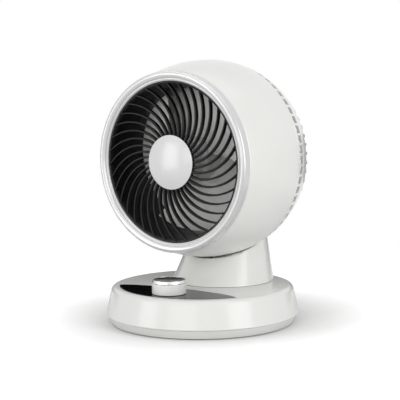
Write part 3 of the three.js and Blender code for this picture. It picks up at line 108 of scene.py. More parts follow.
GLAND_HEIGHT = 20
GLAND_RADIUS = 6
GLAND_FLANGE = 8.2
GLAND_BORE = 3.4
GLAND_MARGIN = 3

NECK_Y = 38.3
NECK_FOOT_RADIUS = 54.7
NECK_TAPER = 0.295                 # radius lost per mm of height
NECK_LEAN = 0.27                   # shift to the back per mm of height
NECK_WALL = 2.6
NECK_TOP = 112
NECK_ROWS = 30
NECK_HALVINGS = 40                 # steps of the search for the height of the neck's edge
PIVOT_RADIUS = 14

HEAD_Y = 14.3
HEAD_Z = 171.8
HEAD_RADIUS = 103.7
HEAD_FRONT_LENGTH = 132.7
SHELL_WALL = 2.5
SHELL_FRONT = -60.2
SHELL_STEPS = 44
RING_FRONT = -70.3
RING_WIDTH = 10
OPENING_Y = -66.8
GRILLE_RIBS = 36
GRILLE_RIB_WIDTH = 2.5
GRILLE_RIB_DEPTH = 4.5
GRILLE_RIB_STEPS = 40
GRILLE_SWIRL = 32                  # how far a rib turns from the hub to the rim
GRILLE_SWIRL_POWER = 1.25
GRILLE_PHASE = 1.1                 # angle of the first rib's middle where it leaves the hub
GRILLE_HUB_RADIUS = 27
CAP_RADIUS = 27.8
CAP_EDGE = 0.7
CAP_DOME = 5
CAP_CROWN = 2.4
CAP_STEPS = 40
THROAT_STEP = 6.4
THROAT_Y = -34.3
DUCT_WALL = 2
DUCT_BACK_LEDGE = 8
REAR_WALL = 3
REAR_RIBS = 60
REAR_RIB_ANGLE = 1.7
REAR_ROWS = (98, 100, 105.4, 113, 153)  # from the front axis: two bands, and the disc's edge
PAD_ANGLE = 27                     # half-width of the closed patch over the neck
PAD_END = 126
IMPELLER_HUB = 24
IMPELLER_FRONT = -36
IMPELLER_BACK = -6
BLADES = 3
BLADE_ANGLE = 144                  # angle that one blade spans
BLADE_SWEEP = -0.5                 # degrees per mm of radius
BLADE_PHASE = 76
BLADE_THICKNESS = 2
BLADE_EDGE = 0.25                  # share of the thickness that is left at the edges
BLADE_TIP_ROUNDING = 0.022         # share of the blade's length taken off its corners at the tip
BLADE_CAMBER = 0.12
BLADE_TIP_GAP = 1.4
SEAM = 0.9
SLOT_GAP = 2.2
SLOT_HALF_WIDTH = 37
SLOT_BACK_Y = 26
SLOT_ENDS = (215.5, 324.5)         # angles round the neck at which the slot ends
CAN_RADIUS = 31
CAN_FRONT = 5.9
CAN_BACK = 38.0
CAN_SHEET = 1.2
CAN_BAND = 0.5
END_CAP_FRONT = 3.6
END_CAP_BACK = 5.6
SHAFT_HOLE = 3.5
BEARING_SEAT = 6.8
BEARING_COLLAR = 8.8
BEARING_DEPTH = 4.3

DEG = math.pi / 180
HEAD_CENTRE = (0, HEAD_Y, HEAD_Z)
KNOB_CENTRE = (KNOB_X, KNOB_Y, 0)
PANEL_TOP = BASE_TOP + PANEL_PROUD
PANEL_BOTTOM = PANEL_TOP - PANEL_THICKNESS
NECK_BOTTOM = BASE_TOP + GAP
SHELL_BACK = -HEAD_RADIUS * math.cos(REAR_ROWS[0] * DEG) - GAP


def shell_radius(y):
    """Outer radius of the head at y in the head's own frame."""
    half = HEAD_FRONT_LENGTH if y < 0 else HEAD_RADIUS
    return HEAD_RADIUS * math.sqrt(1 - (y / half) ** 2)


RING_OUTER = shell_radius(SHELL_FRONT)
OPENING_RADIUS = RING_OUTER - RING_WIDTH
THROAT_RADIUS = OPENING_RADIUS - THROAT_STEP
TONGUE_WALL = 2.2                  # the ring's tongue, which slides into the shell
TONGUE_OUTER = RING_OUTER - SHELL_WALL - GAP
TONGUE_INNER = TONGUE_OUTER - TONGUE_WALL
RIM_INNER = OPENING_RADIUS - GAP - 2


# -------- materials
SCUFF_SCALE = 11                   # scuffs and waves, against the scale of the tone patches
WAVE_SCALE = 0.6
RINGS_PER_SCALE = 3.3              # rings per unit of length at scale 1


def srgb(*values):
    """Linear colour of values from 0 to 255 as a screen shows them."""
    linear = []
    for value in values:
        share = value / 255
        linear.append(share / 12.92 if share <= 0.04045 else ((share + 0.055) / 1.055) ** 2.4)
    return (*linear, 1.0)


class Nodes:
    """A node tree that is written as calls."""

    def __init__(self, name):
        self.material = bpy.data.materials.new(name)
        self.material.use_nodes = True
        self.tree = self.material.node_tree
        self.shader = self.tree.nodes["Principled BSDF"]
        self.place = self.new("ShaderNodeTexCoord").outputs["Object"]

    def new(self, kind, **settings):
        node = self.tree.nodes.new(kind)
        for key, value in settings.items():
            setattr(node, key, value)
        return node

    def link(self, source, target):
        self.tree.links.new(source, target)

    def noise(self, scale, detail):
        node = self.new("ShaderNodeTexNoise")
        node.inputs["Scale"].default_value = scale
        node.inputs["Detail"].default_value = detail
        self.link(self.place, node.inputs["Vector"])
        return node.outputs["Fac"]

    def span(self, value, low, high, from_low=0.3, from_high=0.7):
        node = self.new("ShaderNodeMapRange")
        limits = {"From Min": from_low, "From Max": from_high, "To Min": low, "To Max": high}
        for key, number in limits.items():
            node.inputs[key].default_value = number
        self.link(value, node.inputs["Value"])
        return node.outputs["Result"]

    def mix(self, share, first, second):
        node = self.new("ShaderNodeMix", data_type="RGBA")
        self.link(share, node.inputs["Factor"])
        node.inputs["A"].default_value = first
        node.inputs["B"].default_value = second
        return node.outputs["Result"]

    def bump(self, height, distance, under=None):
        node = self.new("ShaderNodeBump")
        node.inputs["Distance"].default_value = distance
        self.link(height, node.inputs["Height"])
        if under is not None:
            self.link(under, node.inputs["Normal"])
        return node.outputs["Normal"]

    def feed(self, **sources):
        """Links outputs to the shader: base_color goes to Base Color."""
        for key, source in sources.items():
            self.link(source, self.shader.inputs[key.replace("_", " ").title()])


def scaled(colour, factor):
    """A linear colour made darker or lighter."""
    return tuple(min(1.0, c * factor) for c in colour[:3]) + (1.0,)


def finish_of(name, colour, rough, tone=0.03, rough_spread=0.06, grain=2200, grain_depth=0.004, wave=0.0,
              metallic=0.0, coat=0.0, coat_rough=0.04, specular=0.5, patch=26):
    """A moulded or painted surface: slight tone patches, uneven gloss, a fine grain and a faint wave.

    grain_depth and wave are in millimetres, grain and patch are the scales of their noises.
    """
    n = Nodes(name)
    patches = n.span(n.noise(patch, 4), 0, 1)
    scuffs = n.noise(patch * SCUFF_SCALE, 5)
    normal = n.bump(n.noise(grain, 2), grain_depth * MM)
    if wave:
        normal = n.bump(n.noise(patch * WAVE_SCALE, 1), wave * MM, under=normal)
    n.feed(
        base_color=n.mix(patches, scaled(colour, 1 - tone), scaled(colour, 1 + tone)),
        roughness=n.span(scuffs, max(0.02, rough - rough_spread), rough + rough_spread),
        normal=normal,
    )
    n.shader.inputs["Metallic"].default_value = metallic
    n.shader.inputs["Coat Weight"].default_value = coat
    n.shader.inputs["Coat Roughness"].default_value = coat_rough
    n.shader.inputs["Specular IOR Level"].default_value = specular
    return n.material


def turned_metal(name, colour, rough, centre, pitch, depth):
    """Spun metal: fine rings round an upright axis."""
    n = Nodes(name)
    shift = n.new("ShaderNodeMapping")
    shift.inputs["Location"].default_value = [-c * MM for c in centre]
    n.link(n.place, shift.inputs["Vector"])
    rings = n.new("ShaderNodeTexWave", wave_type="RINGS", rings_direction="Z")
    rings.inputs["Scale"].default_value = 1 / (pitch * MM) / RINGS_PER_SCALE
    rings.inputs["Distortion"].default_value = 0.4
    rings.inputs["Detail"].default_value = 2
    n.link(shift.outputs["Vector"], rings.inputs["Vector"])
    n.feed(
        base_color=n.mix(rings.outputs["Fac"], scaled(colour, 0.8), colour),
        roughness=n.span(n.noise(400, 3), rough - 0.05, rough + 0.05),
        normal=n.bump(rings.outputs["Fac"], depth * MM),
    )
    n.shader.inputs["Metallic"].default_value = 1.0
    return n.material


def winding_copper(name):
    """Enamelled wire, wound in fine turns."""
    n = Nodes(name)
    turns = n.new("ShaderNodeTexWave", wave_type="BANDS", bands_direction="Y")
    turns.inputs["Scale"].default_value = 420
    turns.inputs["Distortion"].default_value = 1.2
    n.link(n.place, turns.inputs["Vector"])
    n.feed(
        base_color=n.mix(turns.outputs["Fac"], srgb(96, 44, 20), srgb(205, 120, 62)),
        roughness=n.span(n.noise(700, 2), 0.25, 0.4),
        normal=n.bump(turns.outputs["Fac"], 0.15 * MM),
    )
    n.shader.inputs["Metallic"].default_value = 0.8
    return n.material


white = finish_of("shell_white", srgb(224, 224, 221), 0.34, rough_spread=0.02, specular=0.3, coat=0.8,
                  coat_rough=0.15, wave=0.02, grain_depth=0.0001, tone=0.01)
base_white = finish_of("base_white", srgb(222, 222, 219), 0.26, rough_spread=0.01, specular=0.3, coat=0.4,
                       coat_rough=0.14, tone=0.006, grain_depth=0.00003)
satin = finish_of("ring_satin", srgb(205, 205, 205), 0.22, metallic=0.35, coat=0.4, coat_rough=0.08,
                  grain_depth=0.0001, tone=0.01, rough_spread=0.03)
pearl = finish_of("cap_pearl", srgb(212, 212, 212), 0.3, coat=0.9, coat_rough=0.2,
                  grain_depth=0.0001, tone=0.01, rough_spread=0.03)
skirt = finish_of("skirt_grey", srgb(214, 214, 211), 0.42, grain_depth=0.003)
grille_black = finish_of("grille_black", srgb(7, 7, 8), 0.38, tone=0.2, specular=0.25, grain_depth=0.001)
duct_black = finish_of("duct_black", srgb(7, 7, 8), 0.42, tone=0.2, specular=0.2, grain_depth=0.001)
panel_black = finish_of("panel_black", srgb(8, 8, 9), 0.3, tone=0.2, rough_spread=0.02, grain_depth=0.00002,
                        coat=0.85, coat_rough=0.03, specular=0.0)
blade_grey = finish_of("blade_grey", srgb(236, 236, 233), 0.22, rough_spread=0.05, coat=0.8, coat_rough=0.04,
                       wave=0.03)
chrome = finish_of("bezel_chrome", srgb(226, 226, 228), 0.28, metallic=1.0, rough_spread=0.04,
                   grain=3800, grain_depth=0.0001)
knob_metal = turned_metal("knob_metal", srgb(80, 79, 78), 0.26, KNOB_CENTRE, 0.5, 0.01)
rubber = finish_of("feet_rubber", srgb(42, 42, 43), 0.82, tone=0.15, grain=1500, grain_depth=0.05,
                   specular=0.3)
steel = finish_of("steel", srgb(176, 177, 180), 0.33, metallic=1.0, tone=0.08, grain=900, grain_depth=0.01,
                  patch=90)
acetal = finish_of("acetal", srgb(236, 234, 224), 0.5, grain_depth=0.01, specular=0.4)
copper = winding_copper("winding")
board_green = finish_of("board_green", srgb(30, 92, 54), 0.45, tone=0.25, patch=160, grain_depth=0.01)
switch_body = finish_of("switch_body", srgb(52, 52, 54), 0.5, tone=0.12, grain_depth=0.02)


# -------- mesh helpers
def rounded(points, closed=True, steps=5):
    """An outline with its corners rounded. A point is (radius, height) or (radius, height, rounding)."""
    out = []
    count = len(points)
    for i, point in enumerate(points):
        here = np.array(point[:2], float)
        radius = point[2] if len(point) > 2 else 0
        if not radius or (not closed and i in (0, count - 1)):
            out.append(tuple(here))
            continue
        before = np.array(points[i - 1][:2], float)
        after = np.array(points[(i + 1) % count][:2], float)
        to_before, to_after = before - here, after - here
        len_before, len_after = np.linalg.norm(to_before), np.linalg.norm(to_after)
        to_before, to_after = to_before / len_before, to_after / len_after
        half = math.acos(max(-1.0, min(1.0, float(to_before @ to_after)))) / 2
        if half > math.pi / 2 - 0.02:
            out.append(tuple(here))
            continue
        reach = min(radius / math.tan(half), 0.48 * len_before, 0.48 * len_after)
        bend = reach * math.tan(half)
        middle = (to_before + to_after) / np.linalg.norm(to_before + to_after)
        centre = here + middle * bend / math.sin(half)
        start, end = here + to_before * reach - centre, here + to_after * reach - centre
        sweep = math.atan2(start[0] * end[1] - start[1] * end[0], float(start @ end))
        for k in range(steps + 1):
            turn = sweep * k / steps
            c, s = math.cos(turn), math.sin(turn)
            out.append((centre[0] + c * start[0] - s * start[1], centre[1] + s * start[0] + c * start[1]))
    return out


def lathe(outline, segments=SEGMENTS, axis="Z", centre=(0, 0, 0)):
    """Points and faces of an outline of (radius, height) turned about an axis.

    An outline that starts and ends on the axis gets poles, any other one is closed.
    """
    poled = outline[0][0] == 0 and outline[-1][0] == 0
    rings = outline[1:-1] if poled else outline
    angles = np.arange(segments) * 2 * math.pi / segments
    points = []

    def put(a, b, height):
        local = (a, height, b) if axis == "Y" else (a, b, height)
        points.append([local[k] + centre[k] for k in range(3)])

    for radius, height in rings:
        for angle in angles:
            put(radius * math.cos(angle), radius * math.sin(angle), height)
    faces = []
    for i in range(len(rings) - (1 if poled else 0)):
        top = (i + 1) % len(rings)
        for j in range(segments):
            k = (j + 1) % segments
            faces.append((i * segments + j, i * segments + k, top * segments + k, top * segments + j))
    if poled:
        for pole, ring in ((outline[0], 0), (outline[-1], len(rings) - 1)):
            put(0, 0, pole[1])
            tip = len(points) - 1
            for j in range(segments):
                faces.append((tip, ring * segments + j, ring * segments + (j + 1) % segments))
    return points, faces


def sheet_faces(rows, columns, close_rows=False, close_columns=False):
    """Quads of a grid of points, row after row."""
    faces = []
    for i in range(rows if close_rows else rows - 1):
        for j in range(columns if close_columns else columns - 1):
            i2, j2 = (i + 1) % rows, (j + 1) % columns
            faces.append(tuple(a * columns + b for a, b in ((i, j), (i, j2), (i2, j2), (i2, j))))
    return faces


def sweep(sections):
    """A closed bar whose equal cross-sections follow one another."""
    rows, columns = len(sections), len(sections[0])
    points = [p for section in sections for p in section]
    faces = sheet_faces(rows, columns, close_columns=True)
    faces.append(tuple(range(columns)))
    faces.append(tuple(range((rows - 1) * columns, rows * columns)))
    return points, faces


def merged(parts):
    """Several (points, faces) pairs as one."""
    points, faces = [], []
    for some_points, some_faces in parts:
        shift = len(points)
        points.extend(some_points)
        faces.extend(tuple(i + shift for i in face) for face in some_faces)
    return points, faces


def raw_object(name, shape):
    """An object in the scene from points in millimetres and faces."""
    points, faces = shape
    mesh = bpy.data.meshes.new(name)
    mesh.from_pydata([[c * MM for c in p] for p in points], [], faces)
    work = bmesh.new()
    work.from_mesh(mesh)
    bmesh.ops.recalc_face_normals(work, faces=work.faces)
    work.to_mesh(mesh)
    work.free()
    piece = bpy.data.objects.new(name, mesh)
    bpy.context.scene.collection.objects.link(piece)
    return piece


def carve(piece, *shapes):
    """Cuts other closed shapes out of a piece."""
    tools = [raw_object("cutter", shape) for shape in shapes]
    for tool in tools:
        modifier = piece.modifiers.new("cut", "BOOLEAN")
        modifier.operation = "DIFFERENCE"
        modifier.solver = "EXACT"
        modifier.object = tool
    graph = bpy.context.evaluated_depsgraph_get()
    carved = bpy.data.meshes.new_from_object(piece.evaluated_get(graph))
    piece.modifiers.clear()
    old = piece.data
    piece.data = carved
    bpy.data.meshes.remove(old)
    for tool in tools:
        data = tool.data
        bpy.data.objects.remove(tool)
        bpy.data.meshes.remove(data)


def build(name, shape, material, body, node, cuts=(), sharp=SHARP_ANGLE):
    """A smooth piece with its finish, body and slot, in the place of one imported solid."""
    piece = raw_object(name, shape)
    if cuts:
        carve(piece, *cuts)
    mesh = piece.data
    mesh.polygons.foreach_set("use_smooth", [True] * len(mesh.polygons))
    mesh.set_sharp_from_angle(angle=sharp * DEG)
    mesh.materials.clear()
    mesh.materials.append(material)
    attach(piece, body)
    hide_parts(node)


def rod(radius, bottom, top, x, y, segments=TINY_SEGMENTS):
    """An upright rod."""
    return lathe([(0, bottom), (radius, bottom), (radius, top), (0, top)], segments, centre=(x, y, 0))


def polar(radius, degrees):
    """The two coordinates of a place on a circle."""
    return radius * math.cos(degrees * DEG), radius * math.sin(degrees * DEG)


# -------- base
def cover_outer(z):
    """Outer radius of the cover's sloping wall."""
    share = (z - RIM_HEIGHT) / (BASE_TOP - SHOULDER - RIM_HEIGHT)
    return RIM_RADIUS + (BASE_TOP_RADIUS - RIM_RADIUS) * share


def panel_outline(inset):
    """Outline of the lens-shaped panel, seen from above."""
    radius = BASE_TOP_RADIUS - PANEL_MARGIN - inset
    half = PANEL_HALF_LENGTH - 2 * inset
    end_angle = math.acos(half / radius)
    end_y = -radius * math.sin(end_angle)
    inner_y = PANEL_INNER_Y - inset
    outline = []
    for i in range(PANEL_STEPS + 1):
        angle = math.pi + end_angle + (math.pi - 2 * end_angle) * i / PANEL_STEPS
        outline.append((radius * math.cos(angle), radius * math.sin(angle)))
    control_y = (4 * inner_y - end_y) / 3
    for i in range(1, PANEL_STEPS):
        t = i / PANEL_STEPS
        ends, middles = (1 - t) ** 3 + t ** 3, 3 * t * (1 - t)
        x = half * ((1 - t) ** 3 - t ** 3 + PANEL_FULLNESS * middles * (1 - 2 * t))
        outline.append((x, end_y * ends + control_y * middles))
    c, s = math.cos(PANEL_TURN * DEG), math.sin(PANEL_TURN * DEG)
    return [(c * x - s * y, s * x + c * y) for x, y in outline]


def slab(outlines):
    """A closed slab through several outlines of equal length, each with its height."""
    return sweep([[(x, y, z) for x, y in outline] for outline, z in outlines])


cover_under = BASE_TOP - COVER_TOP
gland_span = [cover_outer(GLAND_HEIGHT + side * GLAND_FLANGE) for side in (-1, 1)]
gland_front = min(gland_span) - COVER_WALL - GLAND_MARGIN
gland_wall = max(gland_span) + GAP
cover_outline = rounded([
    (0, cover_under),
    (BASE_TOP_RADIUS - SHOULDER - COVER_WALL, cover_under),
    (BASE_TOP_RADIUS - COVER_WALL, cover_under - SHOULDER),
    (RIM_RADIUS - COVER_WALL, RIM_HEIGHT, 0.3),
    (RIM_RADIUS, RIM_HEIGHT, 0.9),
    (BASE_TOP_RADIUS - 0.2, BASE_TOP, 5.2),
    (0, BASE_TOP),
], closed=False, steps=9)
groove_floor = BASE_TOP - GROOVE_DEPTH
cut_top = BASE_TOP + OVERCUT
cut_under = cover_under - OVERCUT
gland_bore = GLAND_RADIUS + GAP
build("cover", lathe(cover_outline), base_white, "base", "base_cover", cuts=(
    slab([(panel_outline(-GAP), PANEL_BOTTOM - GAP), (panel_outline(-GAP), cut_top)]),
    rod(PIVOT_RADIUS + 2 * GAP, cut_under, cut_top, 0, NECK_Y, 64),
    rod(SHAFT_RADIUS + 2 * GAP, cut_under, cut_top, KNOB_X, KNOB_Y),
    lathe([
        (GROOVE_INNER, groove_floor), (GROOVE_OUTER, groove_floor),
        (GROOVE_OUTER, cut_top), (GROOVE_INNER, cut_top),
    ], 128, centre=(0, NECK_Y, 0)),
    lathe([
        (0, gland_front), (gland_bore, gland_front),
        (gland_bore, gland_wall + OVERCUT), (0, gland_wall + OVERCUT),
    ], TINY_SEGMENTS, "Y", (0, 0, GLAND_HEIGHT)),
))

skirt_foot = RIM_RADIUS - SKIRT_FOOT_STEP
lip_top = RIM_HEIGHT - GAP + 4
lip_outer = cover_outer(lip_top) - COVER_WALL - 2 * GAP
plate_outline = rounded([
    (0, PLATE_BOTTOM),
    (skirt_foot, PLATE_BOTTOM, 1.0),
    (RIM_RADIUS - SKIRT_TOP_STEP, RIM_HEIGHT - GAP, 0.5),
    (lip_outer, RIM_HEIGHT - GAP),
    (lip_outer, lip_top, 0.4),
    (lip_outer - 2, lip_top, 0.4),
    (skirt_foot - 4, PLATE_FLOOR),
    (0, PLATE_FLOOR),
], closed=False)
foot_places = [polar(RIM_RADIUS - FOOT_INSET, a) for a in (45, 135, 225, 315)] + [(0, 0)]
screw_places = [polar(RIM_RADIUS - BASE_SCREW_INSET, a) for a in BASE_SCREW_ANGLES]
head_recess = PLATE_BOTTOM + SCREW_HEAD_HEIGHT + GAP
build("floor_plate", lathe(plate_outline), skirt, "base", "base_plate", cuts=(
    *[rod(FOOT_RADIUS + GAP, 0, PLATE_BOTTOM + FOOT_RECESS, x, y) for x, y in foot_places],
    *[rod(SCREW_HEAD + SCREW_PLAY, 0, head_recess, x, y) for x, y in screw_places],
    *[rod(SCREW_SHANK + SCREW_PLAY, 0, PLATE_FLOOR + OVERCUT, x, y) for x, y in screw_places],
))
# The middle of a foot is slightly hollow, so that it stands on its rim.
foot_outline = rounded([
    (0, FOOT_HOLLOW), (FOOT_RADIUS - 3.2, FOOT_HOLLOW, 0.2), (FOOT_RADIUS - 2.6, 0, 0.2),
    (FOOT_RADIUS, 0, 0.7), (FOOT_RADIUS, FOOT_HEIGHT, 0.2), (0, FOOT_HEIGHT),
], closed=False)
for i, (x, y) in enumerate(foot_places):
    node = f"foot_{i + 1}" if i < 4 else "foot_center"
    build(f"rubber_{node}", lathe(foot_outline, TINY_SEGMENTS, centre=(x, y, 0)), rubber, "base",
          node)


def cross_slot(x, y, bottom, top):
    """Two bars that cross, the shape of a screwdriver's tip."""
    bars = []
    for a, b in ((CROSS_REACH, CROSS_WIDTH / 2), (CROSS_WIDTH / 2, CROSS_REACH)):
        corners = [(x - a, y - b), (x + a, y - b), (x + a, y + b), (x - a, y + b)]
        bars.append(slab([(corners, bottom), (corners, top)]))
    return bars


screw_face = PLATE_BOTTOM + 0.05
screw_neck = PLATE_BOTTOM + SCREW_HEAD_HEIGHT
screw_end = PLATE_BOTTOM + SCREW_END
screw_outline = rounded([
    (0, screw_face), (SCREW_HEAD, screw_face, 0.7), (SCREW_HEAD, screw_neck, 0.1),
    (SCREW_SHANK, screw_neck), (SCREW_SHANK, screw_end, 0.4), (0, screw_end + 0.4),
], closed=False)
for i, (x, y) in enumerate(screw_places):
    build(f"cover_screw_{i + 1}", lathe(screw_outline, TINY_SEGMENTS, centre=(x, y, 0)), steel, "base",
          f"base_screw_{i + 1}", cuts=cross_slot(x, y, PLATE_BOTTOM - OVERCUT, PLATE_BOTTOM + 0.9))

# The last ring keeps the top flat in shading, inside its fine chamfer.
build("panel", slab([
    (panel_outline(0), PANEL_BOTTOM),
    (panel_outline(0), PANEL_TOP - 0.25),
    (panel_outline(0.08), PANEL_TOP - 0.07),
    (panel_outline(0.3), PANEL_TOP),
    (panel_outline(0.8), PANEL_TOP),
]), panel_black, "base", "control_panel",
    cuts=(rod(SHAFT_RADIUS + 2 * GAP, PANEL_BOTTOM - OVERCUT, PANEL_TOP + OVERCUT, KNOB_X, KNOB_Y),))

gland_outline = [
    (GLAND_BORE, gland_front - 4, 0.3), (GLAND_FLANGE, gland_front - 4, 0.6),
    (GLAND_FLANGE, gland_front, 0.2), (GLAND_RADIUS, gland_front), (GLAND_RADIUS, gland_wall),
    (GLAND_FLANGE, gland_wall, 0.5),
    (7.9, gland_wall + 1.2, 0.3), (7.1, gland_wall + 1.2, 0.3), (7.0, gland_wall + 2.2, 0.3),
    (7.6, gland_wall + 2.2, 0.3), (7.3, gland_wall + 3.4, 0.3), (6.5, gland_wall + 3.4, 0.2),
    (6.4, gland_wall + 5, 0.5), (GLAND_BORE, gland_wall + 5, 0.5),
]
build("strain_relief", lathe(rounded(gland_outline, steps=3), 64, "Y", (0, 0, GLAND_HEIGHT)), rubber, "base",
      "cord_gland")

# -------- knob
knob_bottom = PANEL_TOP + GAP
knob_top = BASE_TOP + KNOB_HEIGHT
bezel_bottom = knob_top - BEZEL_HEIGHT
knob_recess = bezel_bottom - GAP - CAP_SEAT
bore = SHAFT_RADIUS + GAP
bore_top = knob_recess - 1.4
boss_bottom = knob_bottom + 1.5
bezel_inner = KNOB_RADIUS - BEZEL_WIDTH
build("knob_side", lathe(rounded([
    (0, bore_top), (bore, bore_top), (bore, boss_bottom), (bore + KNOB_WALL, boss_bottom),
    (bore + KNOB_WALL, knob_recess - KNOB_WALL), (KNOB_RADIUS - KNOB_WALL, knob_recess - KNOB_WALL),
    (KNOB_RADIUS - KNOB_WALL, knob_bottom, 0.3), (KNOB_RADIUS, knob_bottom, 0.5),
    (KNOB_RADIUS, bezel_bottom - GAP, 0.2), (bezel_inner, bezel_bottom - GAP, 0.1),
    (bezel_inner, knob_recess), (0, knob_recess),
], closed=False), SMALL_SEGMENTS, centre=KNOB_CENTRE), white, "knob", "knob")


def pointer_notch(inner, outer, bottom, top):
    """A block that notches the knob's rim on the pointer's side."""
    turn = Matrix.Rotation(POINTER_ANGLE * DEG, 3, "Z")
    half = POINTER_HALF_WIDTH
    corners = [(-half, -outer), (half, -outer), (half, -inner), (-half, -inner)]
    turned = [turn @ Vector((x, y, 0)) for x, y in corners]
    placed = [(p.x + KNOB_X, p.y + KNOB_Y) for p in turned]
    return slab([(placed, bottom), (placed, top)])


notch = pointer_notch(KNOB_RADIUS - 0.8, KNOB_RADIUS + OVERCUT, bezel_bottom - OVERCUT, bezel_bottom + 1.5)
build("bezel", lathe(rounded([
    (bezel_inner, bezel_bottom), (KNOB_RADIUS, bezel_bottom, 0.12),
    (KNOB_RADIUS, bezel_bottom + 0.6, 0.3), (bezel_inner + 0.45, knob_top, 0.25),
    (bezel_inner, knob_top, 0.1),
]), SMALL_SEGMENTS, centre=KNOB_CENTRE), chrome, "knob", "knob_bezel", cuts=(notch,))

cap_radius = bezel_inner - GAP
cap_bottom, cap_top = knob_recess + GAP, knob_top - GAP
cap_outline = [(0, cap_bottom), (cap_radius, cap_bottom, 0.2), (cap_radius, cap_top, 0.15)]
dish_radius = cap_radius - 0.4
for i in range(DISH_STEPS + 1):
    angle = 90 * i / DISH_STEPS * DEG
    groove = DISH_GROOVE if i % 3 == 1 else 0
    radius = dish_radius * math.cos(angle) if i < DISH_STEPS else 0
    cap_outline.append((radius, cap_top - CAP_DISH * math.sin(angle) - groove))
build("knob_disc", lathe(rounded(cap_outline, closed=False, steps=3), SMALL_SEGMENTS, centre=KNOB_CENTRE),
      knob_metal, "knob", "knob_cap")


# -------- neck
def neck_point(angle, z, inset=0.0):
    """A point of the leaning cone of the neck, or inside it by an inset."""
    radius = NECK_FOOT_RADIUS - inset - NECK_TAPER * (z - BASE_TOP)
    lean = NECK_LEAN * (z - BASE_TOP)
    return np.array([radius * math.cos(angle), NECK_Y + lean + radius * math.sin(angle), z])


def smooth(value, low, high):
    """A soft step from 0 to 1."""
    t = min(1.0, max(0.0, (value - low) / (high - low)))
    return t * t * (3 - 2 * t)


def neck_top(angle, inset=0.0):
    """Height at which the wall meets the head's seat, or the open slot below the head's front."""
    low, high = NECK_BOTTOM + 2, float(NECK_TOP)
    for _ in range(NECK_HALVINGS):
        middle = (low + high) / 2
        point = neck_point(angle, middle, inset)
        in_slot = 0.0
        if point[1] < SLOT_BACK_Y:
            in_slot = 1 - smooth(abs(point[0]), SLOT_HALF_WIDTH - 0.7, SLOT_HALF_WIDTH + 0.3)
        reach = HEAD_RADIUS + SEAM + (SLOT_GAP - SEAM) * in_slot
        distance = np.linalg.norm(point - np.array(HEAD_CENTRE))
        low, high = (low, middle) if distance < reach else (middle, high)
    return low


def neck_angles():
    """Even steps, and fine ones where the slot ends."""
    angles = set(np.round(np.arange(0, 360, 1.25), 4))
    for middle in SLOT_ENDS:
        angles.update(np.round(np.arange(middle - 5, middle + 5, 0.2), 4))
    return [a * DEG for a in sorted(angles)]


def neck_shape():
    """The neck's wall as rings: up the outside, over the edge and down the inside."""
    columns = neck_angles()
    rows = [[] for _ in range(2 * NECK_ROWS + 6)]
    for angle in columns:
        outer_top, inner_top = neck_top(angle), neck_top(angle, NECK_WALL)
        outer_edge, inner_edge = neck_point(angle, outer_top), neck_point(angle, inner_top, NECK_WALL)
        line = []
        for i in range(NECK_ROWS):
            z = NECK_BOTTOM + (outer_top - 0.7 - NECK_BOTTOM) * i / (NECK_ROWS - 1)
            inset = 0.15 if i == 0 else 0.0
            line.append(neck_point(angle, z, inset))
        line.append(neck_point(angle, outer_top - 0.3, 0.06))
        line.append(neck_point(angle, outer_top - 0.08, 0.2))
        line.append(outer_edge + (inner_edge - outer_edge) * 0.18)
        line.append(inner_edge)
        for i in range(NECK_ROWS):
            z = inner_top - 0.4 + (NECK_BOTTOM - inner_top + 0.4) * i / (NECK_ROWS - 1)
            line.append(neck_point(angle, z, NECK_WALL))
        line.append(neck_point(angle, NECK_BOTTOM, NECK_WALL - 0.2))
        line.append(neck_point(angle, NECK_BOTTOM, 0.9))
        for row, point in zip(rows, line):
            row.append(tuple(point))
    points = [p for row in rows for p in row]
    return points, sheet_faces(len(rows), len(columns), close_rows=True, close_columns=True)


build("neck", neck_shape(), white, "neck", "neck_shell", sharp=42)

# -------- head
edge_y = SHELL_FRONT + 0.35
shell_outline = [(shell_radius(SHELL_FRONT) - 0.25, SHELL_FRONT), (shell_radius(edge_y), edge_y)]
for i in range(1, SHELL_STEPS + 1):
    y = SHELL_FRONT + (SHELL_BACK - 0.2 - SHELL_FRONT) * i / SHELL_STEPS
    shell_outline.append((shell_radius(y), y))
shell_outline.append((shell_radius(SHELL_BACK) - 0.2, SHELL_BACK))
for i in range(SHELL_STEPS, -1, -1):
    y = SHELL_FRONT + (SHELL_BACK - SHELL_FRONT) * i / SHELL_STEPS
    shell_outline.append((shell_radius(y) - SHELL_WALL, y))
build("shell", lathe(shell_outline, axis="Y", centre=HEAD_CENTRE), white, "head",
      "head_shell")

lip_back = OPENING_Y + 3
ring_outline = rounded([
    (OPENING_RADIUS, lip_back),
    (OPENING_RADIUS, OPENING_Y, 0.5),
    (OPENING_RADIUS + 1.5, OPENING_Y - 1.3, 0.5),
    (OPENING_RADIUS + 1.9, OPENING_Y - 0.7, 0.1),
    (OPENING_RADIUS + 2.5, OPENING_Y - 0.7, 0.1),
    (OPENING_RADIUS + 2.8, OPENING_Y - 1.8, 0.3),
    (OPENING_RADIUS + 4.4, RING_FRONT + 0.75, 2.5),
    (RING_OUTER - 3.4, RING_FRONT + 0.1, 2.5),
    (RING_OUTER - 1.6, RING_FRONT + 0.5, 0.4),
    (RING_OUTER - 1.4, RING_FRONT + 1.4, 0.1),
    (RING_OUTER - 0.8, RING_FRONT + 1.5, 0.1),
    (RING_OUTER - 0.5, RING_FRONT + 1.2, 0.3),
    (RING_OUTER, RING_FRONT + 2.2, 0.6),
    (RING_OUTER, SHELL_FRONT - GAP, 0.35),
    (TONGUE_OUTER, SHELL_FRONT - GAP),
    (TONGUE_OUTER, SHELL_FRONT + 3),
    (TONGUE_INNER, SHELL_FRONT + 3),
    (TONGUE_INNER, lip_back),
], steps=6)
build("ring", lathe(ring_outline, axis="Y", centre=HEAD_CENTRE), satin, "head", "front_ring",
      sharp=30)

